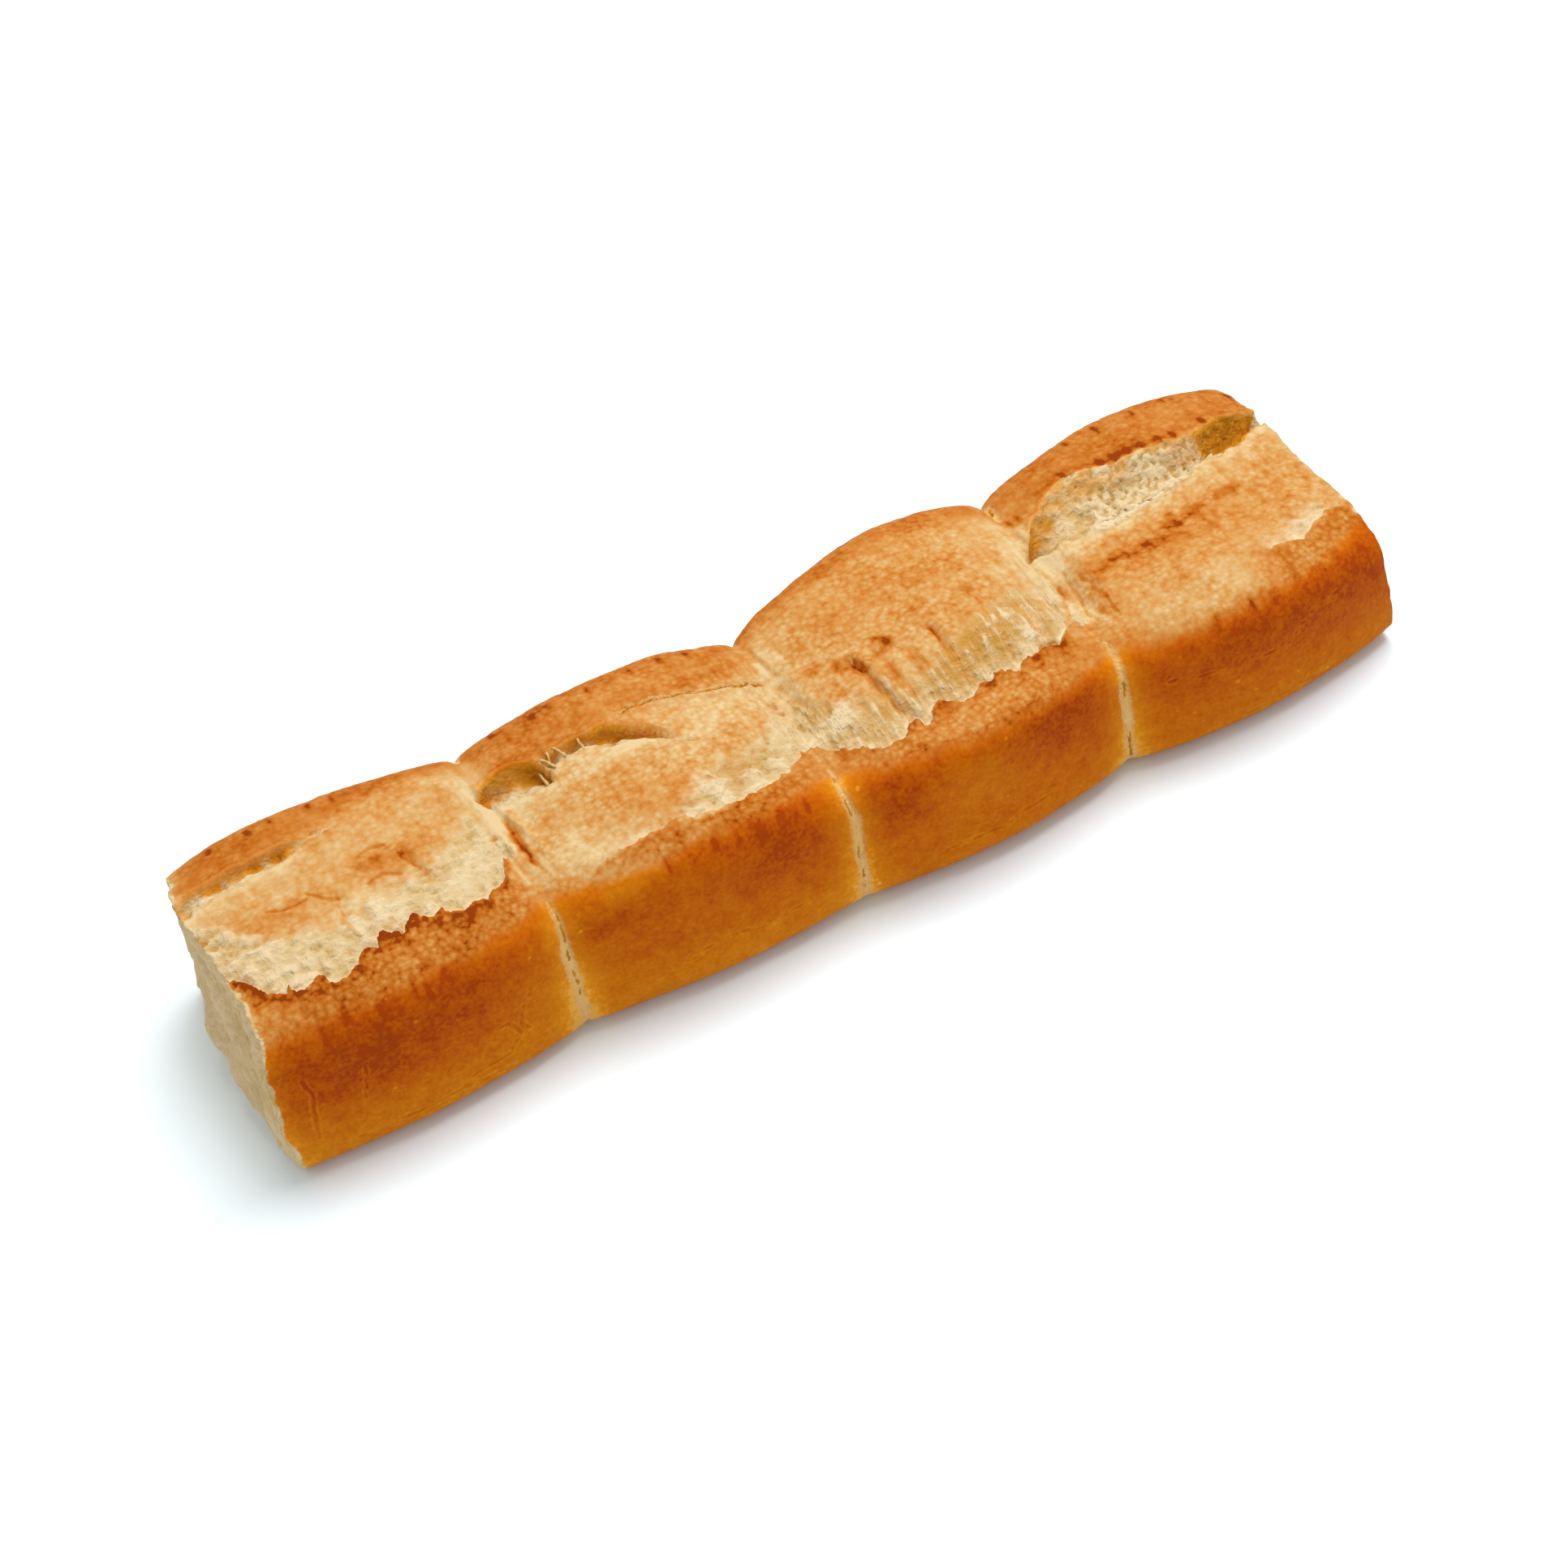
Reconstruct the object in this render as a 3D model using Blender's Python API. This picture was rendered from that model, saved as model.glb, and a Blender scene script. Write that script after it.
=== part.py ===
"""Four joined white bread rolls, baked end to end in one row and broken off at both ends.

The row is one piece of bread.  Its form is a section with rounded corners carried along X.
Each roll swells between two pinched seams, and its top has burst open along one long slash:
a crust lip stands along the back of the opening, the risen inside fills it, and the torn
edge of the skin runs along its front.  At both ends the crumb bulges where the next roll
was pulled off.

Lengths are in millimetres until the mesh is written, in metres.  X runs along the row, -Y is
its front and +Z is up.  The origin is the middle of the base.  A place on the top is given as
(along, across): along is X, and across is measured over the crust from the middle line of
the top, positive towards the front.
"""

import bmesh
import bpy
import numpy as np

MM = 0.001

# The row, seam by seam: where it is pinched, and its height and half widths there.
SEAMS = (-155.0, -76.4, 0.3, 77.9, 155.0)
SEAM_HEIGHT = (49.4, 46.3, 42.0, 39.9, 37.0)
SEAM_FRONT = (34.6, 33.1, 36.9, 35.3, 34.1)
SEAM_BACK = (31.6, 30.5, 27.7, 36.6, 39.6)

# Each roll's swelling between its two seams: upwards, to the front and to the back.  The front
# is fullest at the roll's middle, the rise and the back before it (below 1) or after it.
RISE = (3.1, 7.2, 7.2, 6.1)
FRONT_SWELL = (5.1, 4.7, 6.5, 7.9)
BACK_SWELL = (6.6, 4.2, 8.8, 6.9)
LOBE_POWER = 1.69
FRONT_FULLEST = (1.0, 1.0, 1.0, 1.0)
BACK_FULLEST = (0.85, 1.12, 1.18, 1.08)

# The section: widest a little above the base, its corners rounded, flat underneath.
WIDEST_HEIGHT = 16.0
TOP_SQUARENESS = 5.5
FOOT_SQUARENESS = 5.0
FOOT_FLATTENED = 1.5

# How much of each seam the drawn-out skin fills over the top and down the front, and the
# swelling that the filling is measured against.
SEAM_FILL = 2.2
EVEN_SWELL = (6.5, 6.5, 6.5, 6.5)
FOOT_FADE = 6.0

# The broken ends: where the crust stops, how far each end's foot leans out past that, how far
# off square both ends lie (back and front, as a share), and how far the crumb bulges out.
LEFT_RIM = -151.8
RIGHT_RIM = 154.0
LEFT_LEAN = 2.8
RIGHT_LEAN = 2.8
OFF_SQUARE = 0.03
LEAN_LENGTH = 30.0
LEFT_BULGE = 2.2
RIGHT_BULGE = 1.5
LOW_BULGE = 0.8
CRUMB_HEART = 0.45

# The crust's edge at the left end: where it stands further out, as (across, how far).
LEFT_RIM_LINE = (
    (-86, 0), (-72, -2.2), (-55, -2), (-42, -0.8), (-28, -0.4), (-20, 1.4), (-12, 1.8), (-4, 0.8), (5, 0.4),
    (14, 0), (29, 0), (36, 2.2), (45, 3.6), (58, 3.6), (66, 1.6), (75, 0),
)
RIM_REACH = 25.0

# The middle of the row's box, which becomes the origin.
BOX_MIDDLE = (0.76, 1.22)

# The skin's torn front edge on each roll: its line, the lip on its outer side, and the drop
# inside it.
FRONT_TEARS = (
    {
        "line": (
            (-152, 13), (-145, 22), (-136, 25), (-128, 26.5), (-120, 22), (-112, 20.5), (-104, 20),
            (-95, 23.5), (-83, 20), (-80, 14),
        ),
        "lip": 1.1,
        "drop": 1.6,
    },
    {"line": ((-60, 28), (-45, 28), (-30, 29.5), (-15, 27.5), (-1, 21)), "lip": 0.5, "drop": 1.0},
    {
        "line": (
            (0, 20), (6, 25), (16, 30.5), (28, 29), (34, 25.5), (42, 27.5), (50, 24.5), (60, 25), (75, 20),
        ),
        "lip": 1.0,
        "drop": 1.8,
    },
    {"line": ((130, 27), (137, 27), (142, 24), (148, 21)), "lip": 0.4, "drop": 0.8},
)
LIP_LENGTH = 4.5
DROP_LENGTH = 6.0
TEAR_FADE = 4.0

# The openings along the back of the slashes: the line of the crust lip over them, the line of
# their far side, how deep they go, and where that is on the way from the lip to the far side.
# An opening is at its full depth where it is FULL_WIDTH wide or more.
OPENINGS = (
    {
        "lip": ((-156, -13), (-150, -18), (-140, -19.5), (-125, -19), (-111, -18)),
        "far": ((-156, -9), (-150, -12.5), (-140, -14), (-125, -15.5), (-111, -18)),
        "deep": 2.8,
        "deepest": 0.35,
    },
    {
        "lip": (
            (-78.5, -8), (-77, -10.5), (-74.5, -12.5), (-71.5, -13.2), (-68, -13.2), (-65, -12.2),
            (-62.5, -10.5), (-60.7, -7.7), (-59.8, -4.7), (-59, 0),
        ),
        "far": ((-78.5, -8), (-76, -3.5), (-73.5, -2), (-70, -1.4), (-64, -0.6), (-59, 0)),
        "deep": 5.0,
        "deepest": 0.35,
    },
    {
        "lip": (
            (-59.5, -7), (-58, -8.8), (-53, -9.5), (-48, -9.8), (-42.4, -9.6), (-38, -7), (-33.7, -3.5),
            (-31, -0.5), (-29, 2.8), (-26.4, 5.7), (-23.6, 8),
        ),
        "far": (
            (-59.5, -7), (-58, -4.5), (-53.8, -5.1), (-50, -5.5), (-46, -3.6), (-42, -1.9), (-36, 0.2),
            (-31.4, 2.4), (-28, 5), (-23.6, 8),
        ),
        "deep": 4.5,
        "deepest": 0.35,
    },
    {
        "lip": (
            (76, -6), (79, -13), (84, -18), (91, -23), (96.5, -25.8), (105, -24.3), (112, -22.7),
            (119, -22.7), (128, -21.3), (136.5, -21), (140.5, -23), (148, -23.6), (162, -22.5),
        ),
        "far": (
            (76, -6), (82, -6.2), (86.5, -6), (92, -5), (98, -3.8), (107, -4), (118, -5.5), (132.5, -9.6),
            (142.5, -11.3), (154, -16), (162, -17),
        ),
        "deep": 6.0,
        "deepest": 0.6,
    },
)
FULL_WIDTH = 6.0
CRUST_LIP = 1.2

# Where the risen inside lies lower than the crust: middle of the dip and its half sizes.
DIPS = (
    {"middle": (40, 26), "half": (44, 17), "deep": 4.5},
    {"middle": (-18, 24), "half": (20, 12), "deep": 1.5},
    {"middle": (116, 2), "half": (50, 22), "deep": 2.8},
    {"middle": (79, 6), "half": (9, 24), "deep": 4.0},
    {"middle": (0, 2), "half": (8, 20), "deep": 2.5},
)

# How finely the surface is divided: along each roll, over each side of the section, and
# inwards over the broken ends.
ROLL_STEPS = 20
STEPS_CLOSER_AT_SEAMS = 0.35
TOP_STEPS = 40
SIDE_STEPS = 9
BASE_STEPS = 8
END_RINGS = (0.985, 0.94, 0.80, 0.55, 0.28)

CRUST_COLOR = (0.62, 0.25, 0.05, 1.0)
CRUST_ROUGHNESS = 0.55


def ramp(start, end, value):
    """0 before start, 1 after end, and a smooth rise between them."""
    part = np.clip((value - start) / (end - start), 0.0, 1.0)
    return part * part * (3.0 - 2.0 * part)


def stations():
    """Places along the row where the section is drawn, closer together near the seams."""
    step = np.arange(ROLL_STEPS) / ROLL_STEPS
    eased = step - STEPS_CLOSER_AT_SEAMS * np.sin(2.0 * np.pi * step) / (2.0 * np.pi)
    bounds = (LEFT_RIM,) + SEAMS[1:-1] + (RIGHT_RIM,)
    rolls = [start + (end - start) * eased for start, end in zip(bounds[:-1], bounds[1:])]
    return np.concatenate(rolls + [[RIGHT_RIM]])


def swell(along, at_seams, mid_roll, fullest):
    """A measure that runs straight from seam to seam and swells by its own share in each roll."""
    roll = np.clip(np.searchsorted(SEAMS, along, side="right") - 1, 0, len(mid_roll) - 1)
    start = np.take(SEAMS, roll)
    part = np.clip((along - start) / (np.take(SEAMS, roll + 1) - start), 0.0, 1.0)
    off_middle = np.abs(2.0 * part ** np.take(fullest, roll) - 1.0)
    lobe = (1.0 - off_middle ** LOBE_POWER) ** (1.0 / LOBE_POWER)
    return np.interp(along, SEAMS, at_seams) + np.take(mid_roll, roll) * lobe


def square_walk():
    """One round of a square of half side 1: over the top to the front, down, under and up the back."""
    over = np.linspace(1.0, -1.0, TOP_STEPS, endpoint=False)
    down = np.sin(np.linspace(0.5 * np.pi, -0.5 * np.pi, SIDE_STEPS, endpoint=False))
    under = np.linspace(-1.0, 1.0, BASE_STEPS, endpoint=False)
    side = np.ones(SIDE_STEPS)
    across = np.concatenate([over, -side, under, side])
    upward = np.concatenate([np.ones(TOP_STEPS), down, -np.ones(BASE_STEPS), -down])
    return across, upward


def plain_rings(along):
    """The rings of the loaf before its top tears: the square walk drawn in to a superellipse."""
    across, upward = square_walk()
    power = np.where(upward >= 0.0, TOP_SQUARENESS, FOOT_SQUARENESS)
    pull = (np.abs(across) ** power + np.abs(upward) ** power) ** (-1.0 / power)
    height = swell(along, SEAM_HEIGHT, RISE, BACK_FULLEST)[:, None]
    front = swell(along, SEAM_FRONT, FRONT_SWELL, FRONT_FULLEST)[:, None]
    back = swell(along, SEAM_BACK, BACK_SWELL, BACK_FULLEST)[:, None]
    half_width = np.where(across >= 0.0, back, front)
    half_height = np.where(upward >= 0.0, height - WIDEST_HEIGHT, WIDEST_HEIGHT + FOOT_FLATTENED)
    y = half_width * across * pull
    z = np.maximum(WIDEST_HEIGHT + half_height * upward * pull, 0.0)
    return np.stack([along[:, None] + 0.0 * y, y, z], axis=-1)


def distance_across(rings):
    """How far each point is from the middle line of the top, over the crust, front positive."""
    steps = np.linalg.norm(np.diff(rings, axis=1, append=rings[:, :1]), axis=-1)
    walked = np.cumsum(steps, axis=1) - steps
    middle = TOP_STEPS // 2
    across = walked - walked[:, middle:middle + 1]
    back_side = slice(TOP_STEPS + SIDE_STEPS + BASE_STEPS, None)
    across[:, back_side] -= steps.sum(axis=1, keepdims=True)
    return across


def outward(rings):
    """Unit vectors out of the loaf: the way round the ring crossed with the way along the row."""
    around = np.roll(rings, -1, axis=1) - np.roll(rings, 1, axis=1)
    lengthwise = np.gradient(rings, axis=0)
    normal = np.cross(around, lengthwise)
    return normal / np.linalg.norm(normal, axis=-1, keepdims=True)


def torn_edge(along, across, tear):
    """A step at the skin's torn edge: a lip that rises outside it and a drop that fades inside it."""
    places, line = np.transpose(tear["line"])
    outside = across - np.interp(along, places, line)
    present = ramp(places[0] - TEAR_FADE, places[0], along) * ramp(places[-1] + TEAR_FADE, places[-1], along)
    lip = tear["lip"] * np.exp(-np.maximum(outside, 0.0) / LIP_LENGTH)
    drop = -tear["drop"] * np.exp(np.minimum(outside, 0.0) / DROP_LENGTH)
    return present * np.where(outside >= 0.0, lip, drop)


def opening(along, across, slot):
    """A slash's open side: the crust lip, the wall under it and the floor that rises to the far side."""
    lip_places, lip_line = np.transpose(slot["lip"])
    far_places, far_line = np.transpose(slot["far"])
    lip = np.interp(along, lip_places, lip_line)
    far = np.interp(along, far_places, far_line)
    within = (along >= lip_places[0]) * (along <= lip_places[-1])
    present = within * ramp(0.0, FULL_WIDTH, far - lip)
    way = (across - lip) / np.maximum(far - lip, 0.5)
    hollow = slot["deep"] * ramp(0.0, slot["deepest"], way) * ramp(1.0, slot["deepest"], way)
    raised = CRUST_LIP * np.exp(np.minimum(across - lip, 0.0) / LIP_LENGTH) * ramp(slot["deepest"], 0.0, way)
    return present * (raised - hollow)


def dip(along, across, hollow):
    """A smooth oval dip of the risen inside."""
    off_along = (along - hollow["middle"][0]) / hollow["half"][0]
    off_across = (across - hollow["middle"][1]) / hollow["half"][1]
    return -hollow["deep"] * ramp(1.0, 0.0, np.hypot(off_along, off_across))


def seam_filling(along, across):
    """How far the skin that was drawn out over each seam fills it, none of it at the back."""
    swollen = swell(along, (0.0,) * len(SEAMS), EVEN_SWELL, FRONT_FULLEST)
    filled = SEAM_FILL * ramp(-30.0, -16.0, across)
    return np.cbrt(swollen ** 3 + filled ** 3) - swollen


def top_relief(along, across):
    """Height of the burst top over the plain loaf."""
    height = seam_filling(along, across)
    height = height + sum(torn_edge(along, across, tear) for tear in FRONT_TEARS)
    height = height + sum(dip(along, across, hollow) for hollow in DIPS)
    slots = [opening(along, across, slot) for slot in OPENINGS]
    return height + np.minimum.reduce(slots) + np.maximum(np.maximum.reduce(slots), 0.0)


def lean(rings, rim, how_far):
    """How far each point moves along the row as an end leans out at its foot and lies off square."""
    near_end = ramp(rim - np.copysign(LEAN_LENGTH, rim), rim, rings[..., 0])
    low = np.clip(1.0 - rings[..., 2] / SEAM_HEIGHT[-1], 0.0, 1.0)
    return near_end * (np.copysign(how_far, rim) * ramp(0.0, 1.0, low) - OFF_SQUARE * rings[..., 1])


def loaf_rings():
    """The crust from one broken end to the other, its burst top and its leaning ends with it."""
    rings = plain_rings(stations())
    along = rings[..., 0]
    across = distance_across(rings)
    relief = top_relief(along, across) * ramp(0.0, FOOT_FADE, rings[..., 2])
    rim_places, rim_line = np.transpose(LEFT_RIM_LINE)
    further_out = np.interp(across, rim_places, rim_line) * ramp(LEFT_RIM + RIM_REACH, LEFT_RIM, along)
    rings = rings + outward(rings) * relief[..., None]
    rings[..., 0] += lean(rings, LEFT_RIM, LEFT_LEAN) + lean(rings, RIGHT_RIM, RIGHT_LEAN)
    rings[..., 0] -= further_out
    return rings


def end_rings(rim, bulge):
    """Rings over a broken end, drawn in towards the heart of the crumb as they bulge out."""
    heart = np.array([0.0, 0.0, CRUMB_HEART * rim[:, 2].max()])
    rings = []
    for share in END_RINGS:
        ring = heart + share * (rim - heart)
        low = np.clip(1.0 - ring[:, 2] / heart[2], -1.0, 1.0)
        level = rim[:, 0].mean() + share ** 2 * (rim[:, 0] - rim[:, 0].mean())
        ring[:, 0] = level + bulge * (1.0 - share ** 6) * (1.0 + LOW_BULGE * low)
        rings.append(ring)
    heart[0] = ring[:, 0].mean()
    return rings, heart


def skin(mesh, rings):
    """Bridge each closed ring of vertices to the next."""
    for ring, following in zip(rings[:-1], rings[1:]):
        for index in range(len(ring)):
            after = (index + 1) % len(ring)
            mesh.faces.new((ring[index], ring[after], following[after], following[index]))


def close_end(mesh, ring, tip):
    """Join an end's last ring to the point in the middle of the crumb."""
    for index in range(len(ring)):
        mesh.faces.new((ring[index], ring[(index + 1) % len(ring)], tip))


def bread():
    """The whole row as one closed mesh, centred on its base."""
    rings = list(loaf_rings())
    left, left_tip = end_rings(rings[0], -LEFT_BULGE)
    right, right_tip = end_rings(rings[-1], RIGHT_BULGE)
    shift = np.array([BOX_MIDDLE[0], BOX_MIDDLE[1], 0.0])
    mesh = bmesh.new()
    loops = []
    for ring in left[::-1] + rings + right:
        loops.append([mesh.verts.new((point - shift) * MM) for point in ring])
    skin(mesh, loops)
    close_end(mesh, loops[0], mesh.verts.new((left_tip - shift) * MM))
    close_end(mesh, loops[-1], mesh.verts.new((right_tip - shift) * MM))
    bmesh.ops.recalc_face_normals(mesh, faces=mesh.faces)
    bmesh.ops.triangulate(mesh, faces=mesh.faces, quad_method="SHORT_EDGE")
    return mesh


def crust_material():
    """Baked crust: golden brown and slightly glossy."""
    material = bpy.data.materials.new("baked_crust")
    material.use_nodes = True
    shader = material.node_tree.nodes["Principled BSDF"]
    shader.inputs["Base Color"].default_value = CRUST_COLOR
    shader.inputs["Roughness"].default_value = CRUST_ROUGHNESS
    shader.inputs["Metallic"].default_value = 0.0
    return material


for leftover in list(bpy.data.objects):
    bpy.data.objects.remove(leftover, do_unlink=True)

shape = bpy.data.meshes.new("roll_strip")
form = bread()
form.to_mesh(shape)
form.free()
shape.shade_smooth()
shape.materials.append(crust_material())
roll_strip = bpy.data.objects.new("roll_strip", shape)
bpy.context.scene.collection.objects.link(roll_strip)
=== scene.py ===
"""Four joined white bread rolls: the crust, the burst tops and the torn crumb.

Sizes are in millimetres unless a name says otherwise, and a mesh is written in metres.  X runs
along the row, -Y is its front and +Z is up.  A place on the crust is (along, across): along is
X, and across is measured over the crust from the middle line of the top, positive towards the
front and on down the front side.
"""

import bpy
import numpy as np
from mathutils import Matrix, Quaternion, Vector


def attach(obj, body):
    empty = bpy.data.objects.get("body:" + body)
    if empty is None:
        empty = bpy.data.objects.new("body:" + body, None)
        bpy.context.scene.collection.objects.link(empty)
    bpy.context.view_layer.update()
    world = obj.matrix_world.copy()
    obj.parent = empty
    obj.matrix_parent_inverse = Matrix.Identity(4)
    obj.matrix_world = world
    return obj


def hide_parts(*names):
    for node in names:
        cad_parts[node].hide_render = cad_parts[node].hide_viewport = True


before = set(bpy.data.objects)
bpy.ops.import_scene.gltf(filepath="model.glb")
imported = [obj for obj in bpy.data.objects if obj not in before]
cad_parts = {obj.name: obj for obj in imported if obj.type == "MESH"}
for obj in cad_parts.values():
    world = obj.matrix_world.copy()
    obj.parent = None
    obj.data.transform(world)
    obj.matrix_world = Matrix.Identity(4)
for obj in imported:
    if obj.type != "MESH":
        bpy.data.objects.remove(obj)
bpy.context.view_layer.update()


# ----------------------------------------------------------
# The plain row: four balls of dough set close in a line, which grew together in the oven.
# A section with rounded corners is carried along the row; each roll swells between two
# pinched seams, and the baking sheet left the underside flat.

MM = 0.001

SEAMS = (-155.0, -76.4, 0.3, 77.9, 155.0)
SEAM_HEIGHT = (49.4, 46.3, 42.0, 39.9, 37.0)
SEAM_FRONT = (34.6, 33.1, 36.9, 35.3, 34.1)
SEAM_BACK = (31.6, 30.5, 27.7, 36.6, 39.6)
RISE = (3.1, 7.2, 7.2, 6.1)
FRONT_SWELL = (5.1, 4.7, 6.5, 7.9)
BACK_SWELL = (6.6, 4.2, 8.8, 6.9)
LOBE_POWER = 1.69
FRONT_FULLEST = (1.0, 1.0, 1.0, 1.0)
BACK_FULLEST = (0.85, 1.12, 1.18, 1.08)
WIDEST_HEIGHT = 16.0
TOP_SQUARENESS = 5.5
FOOT_SQUARENESS = 5.0
FOOT_FLATTENED = 1.5
SHOULDER_SHARE = 0.97
SEAM_CALM = (1.0, 10.0)
LEFT_RIM = -151.8
RIGHT_RIM = 154.0

ROLL_STEPS = 100
STEPS_CLOSER_AT_SEAMS = 0.35
TOP_STEPS = 140
FRONT_STEPS = 36
BASE_STEPS = 10
BACK_STEPS = 24


def ramp(start, end, value):
    """0 before start, 1 after end, and a smooth rise between them."""
    part = np.clip((value - start) / (end - start), 0.0, 1.0)
    return part * part * (3.0 - 2.0 * part)


def swell(along, at_seams, mid_roll, fullest):
    """A measure that runs straight from seam to seam and swells by its own share in each roll."""
    roll = np.clip(np.searchsorted(SEAMS, along, side="right") - 1, 0, len(mid_roll) - 1)
    start = np.take(SEAMS, roll)
    part = np.clip((along - start) / (np.take(SEAMS, roll + 1) - start), 0.0, 1.0)
    off_middle = np.abs(2.0 * part ** np.take(fullest, roll) - 1.0)
    lobe = (1.0 - off_middle ** LOBE_POWER) ** (1.0 / LOBE_POWER)
    return np.interp(along, SEAMS, at_seams) + np.take(mid_roll, roll) * lobe


def stations():
    """Places along the row where the section is drawn, closer together near the seams."""
    step = np.arange(ROLL_STEPS) / ROLL_STEPS
    eased = step - STEPS_CLOSER_AT_SEAMS * np.sin(2.0 * np.pi * step) / (2.0 * np.pi)
    bounds = (LEFT_RIM,) + SEAMS[1:-1] + (RIGHT_RIM,)
    rolls = [start + (end - start) * eased for start, end in zip(bounds[:-1], bounds[1:])]
    return np.concatenate(rolls + [[RIGHT_RIM]])


def square_walk():
    """Once round a square of half side 1: over the top to the front, down, under and up the back."""
    over = np.linspace(1.0, -1.0, TOP_STEPS, endpoint=False)
    down = np.sin(np.linspace(0.5 * np.pi, -0.5 * np.pi, FRONT_STEPS, endpoint=False))
    under = np.linspace(-1.0, 1.0, BASE_STEPS, endpoint=False)
    back = np.sin(np.linspace(-0.5 * np.pi, 0.5 * np.pi, BACK_STEPS, endpoint=False))
    across = np.concatenate([over, -np.ones(FRONT_STEPS), under, np.ones(BACK_STEPS)])
    upward = np.concatenate([np.ones(TOP_STEPS), down, -np.ones(BASE_STEPS), back])
    return across, upward


def plain_rings(along):
    """The rings of the loaf before its top tears: the square walk drawn in to a superellipse."""
    across, upward = square_walk()
    power = np.where(upward >= 0.0, TOP_SQUARENESS, FOOT_SQUARENESS)
    pull = (np.abs(across) ** power + np.abs(upward) ** power) ** (-1.0 / power)
    height = swell(along, SEAM_HEIGHT, RISE, BACK_FULLEST)[:, None]
    front = swell(along, SEAM_FRONT, FRONT_SWELL, FRONT_FULLEST)[:, None]
    back = swell(along, SEAM_BACK, BACK_SWELL, BACK_FULLEST)[:, None]
    half_width = np.where(across >= 0.0, back, front)
    half_height = np.where(upward >= 0.0, height - WIDEST_HEIGHT, WIDEST_HEIGHT + FOOT_FLATTENED)
    y = half_width * across * pull
    z = np.maximum(WIDEST_HEIGHT + half_height * upward * pull, 0.0)
    return np.stack([along[:, None] + 0.0 * y, y, z], axis=-1)


def distance_across(rings):
    """How far each point is from the middle line of the top, over the crust, front positive."""
    steps = np.linalg.norm(np.diff(rings, axis=1, append=rings[:, :1]), axis=-1)
    walked = np.cumsum(steps, axis=1) - steps
    middle = TOP_STEPS // 2
    across = walked - walked[:, middle:middle + 1]
    across[:, TOP_STEPS + FRONT_STEPS + BASE_STEPS:] -= steps.sum(axis=1, keepdims=True)
    return across


def unit(vectors):
    """The same directions, each of length 1."""
    return vectors / np.linalg.norm(vectors, axis=-1, keepdims=True)


def directions(rings):
    """Unit vectors out of the loaf and over it towards the front, at each point."""
    around = unit(np.roll(rings, -1, axis=1) - np.roll(rings, 1, axis=1))
    lengthwise = unit(np.gradient(rings, axis=0))
    return unit(np.cross(around, lengthwise)), around


rings = plain_rings(stations())
out, frontwards = directions(rings)
along = rings[..., 0]
across = distance_across(rings)
front_shoulder = SHOULDER_SHARE * swell(along, SEAM_FRONT, FRONT_SWELL, FRONT_FULLEST)
back_shoulder = -SHOULDER_SHARE * swell(along, SEAM_BACK, BACK_SWELL, BACK_FULLEST)
past_shoulder = np.maximum(across - front_shoulder, back_shoulder - across)
inner_seam = np.min(np.abs(along[..., None] - np.array(SEAMS[1:-1])), axis=-1)
out[..., 0] *= ramp(*SEAM_CALM, inner_seam)
out = unit(out)
on_top = ramp(4.0, 0.0, past_shoulder)


# ----------------------------------------------------------
# Uneven growth: nothing on bread is smooth, so every line and surface below wanders.
# Random heights on a grid are eased into bumps, and bumps of halving size are added up.

TABLE_SIDE = 256
PIT_RADIUS = 0.55
CREASE_LEVEL = 0.3


def bumps(u, v, seed):
    """Random heights, -1 to 1, at the corners of unit squares, eased smoothly across each square."""
    table = np.random.default_rng(seed).uniform(-1.0, 1.0, (TABLE_SIDE, TABLE_SIDE))
    left = np.floor(u).astype(int)
    low = np.floor(v).astype(int)
    ease_u = ramp(0.0, 1.0, u - left)
    ease_v = ramp(0.0, 1.0, v - low)
    edges = []
    for row in (low, low + 1):
        start, end = (table[(left + i) % TABLE_SIDE, row % TABLE_SIDE] for i in (0, 1))
        edges.append(start + (end - start) * ease_u)
    return edges[0] + (edges[1] - edges[0]) * ease_v


def rough(u, v, seed, octaves=4):
    """Bumps added up, each set half as wide and half as high as the one before."""
    return sum(bumps(u * 2 ** k, v * 2 ** k, seed + k) * 0.5 ** k for k in range(octaves))


def lumps(u, v, seed, octaves=4):
    """Rounded lumps with creases between them: bumps folded up at 0, of halving size, about 0."""
    folded = (np.abs(bumps(u * 2 ** k, v * 2 ** k, seed + k)) - CREASE_LEVEL for k in range(octaves))
    return sum(part * 0.6 ** k for k, part in enumerate(folded))


def pits(u, v, seed):
    """Round pits: 1 at scattered points, one in each unit square, falling to 0 away from them."""
    places = np.random.default_rng(seed).random((2, TABLE_SIDE, TABLE_SIDE))
    left = np.floor(u).astype(int)
    low = np.floor(v).astype(int)
    nearest = np.full(np.shape(u), PIT_RADIUS)
    for i in (-1, 0, 1):
        for j in (-1, 0, 1):
            cell = ((left + i) % TABLE_SIDE, (low + j) % TABLE_SIDE)
            gap = np.hypot(left + i + places[0][cell] - u, low + j + places[1][cell] - v)
            nearest = np.minimum(nearest, gap)
    return ramp(PIT_RADIUS, 0.0, nearest)


def line_at(points, where):
    """A line across the crust, through (along, across) points, read at places along the row."""
    places, line = np.transpose(points)
    return np.interp(where, places, line)


def stretch(points, where, fade):
    """1 between the first and the last point of a line, fading to 0 outside them."""
    first, last = points[0][0], points[-1][0]
    return ramp(first - fade, first, where) * ramp(last + fade, last, where)


# ----------------------------------------------------------
# The burst fronts: the skin tore along the front of each slash and its edge stands a little
# proud of the crumb that rose inside it.  The edge is ragged, toasted darkest on the first
# roll, and hangs over by a millimetre or less.

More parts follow.
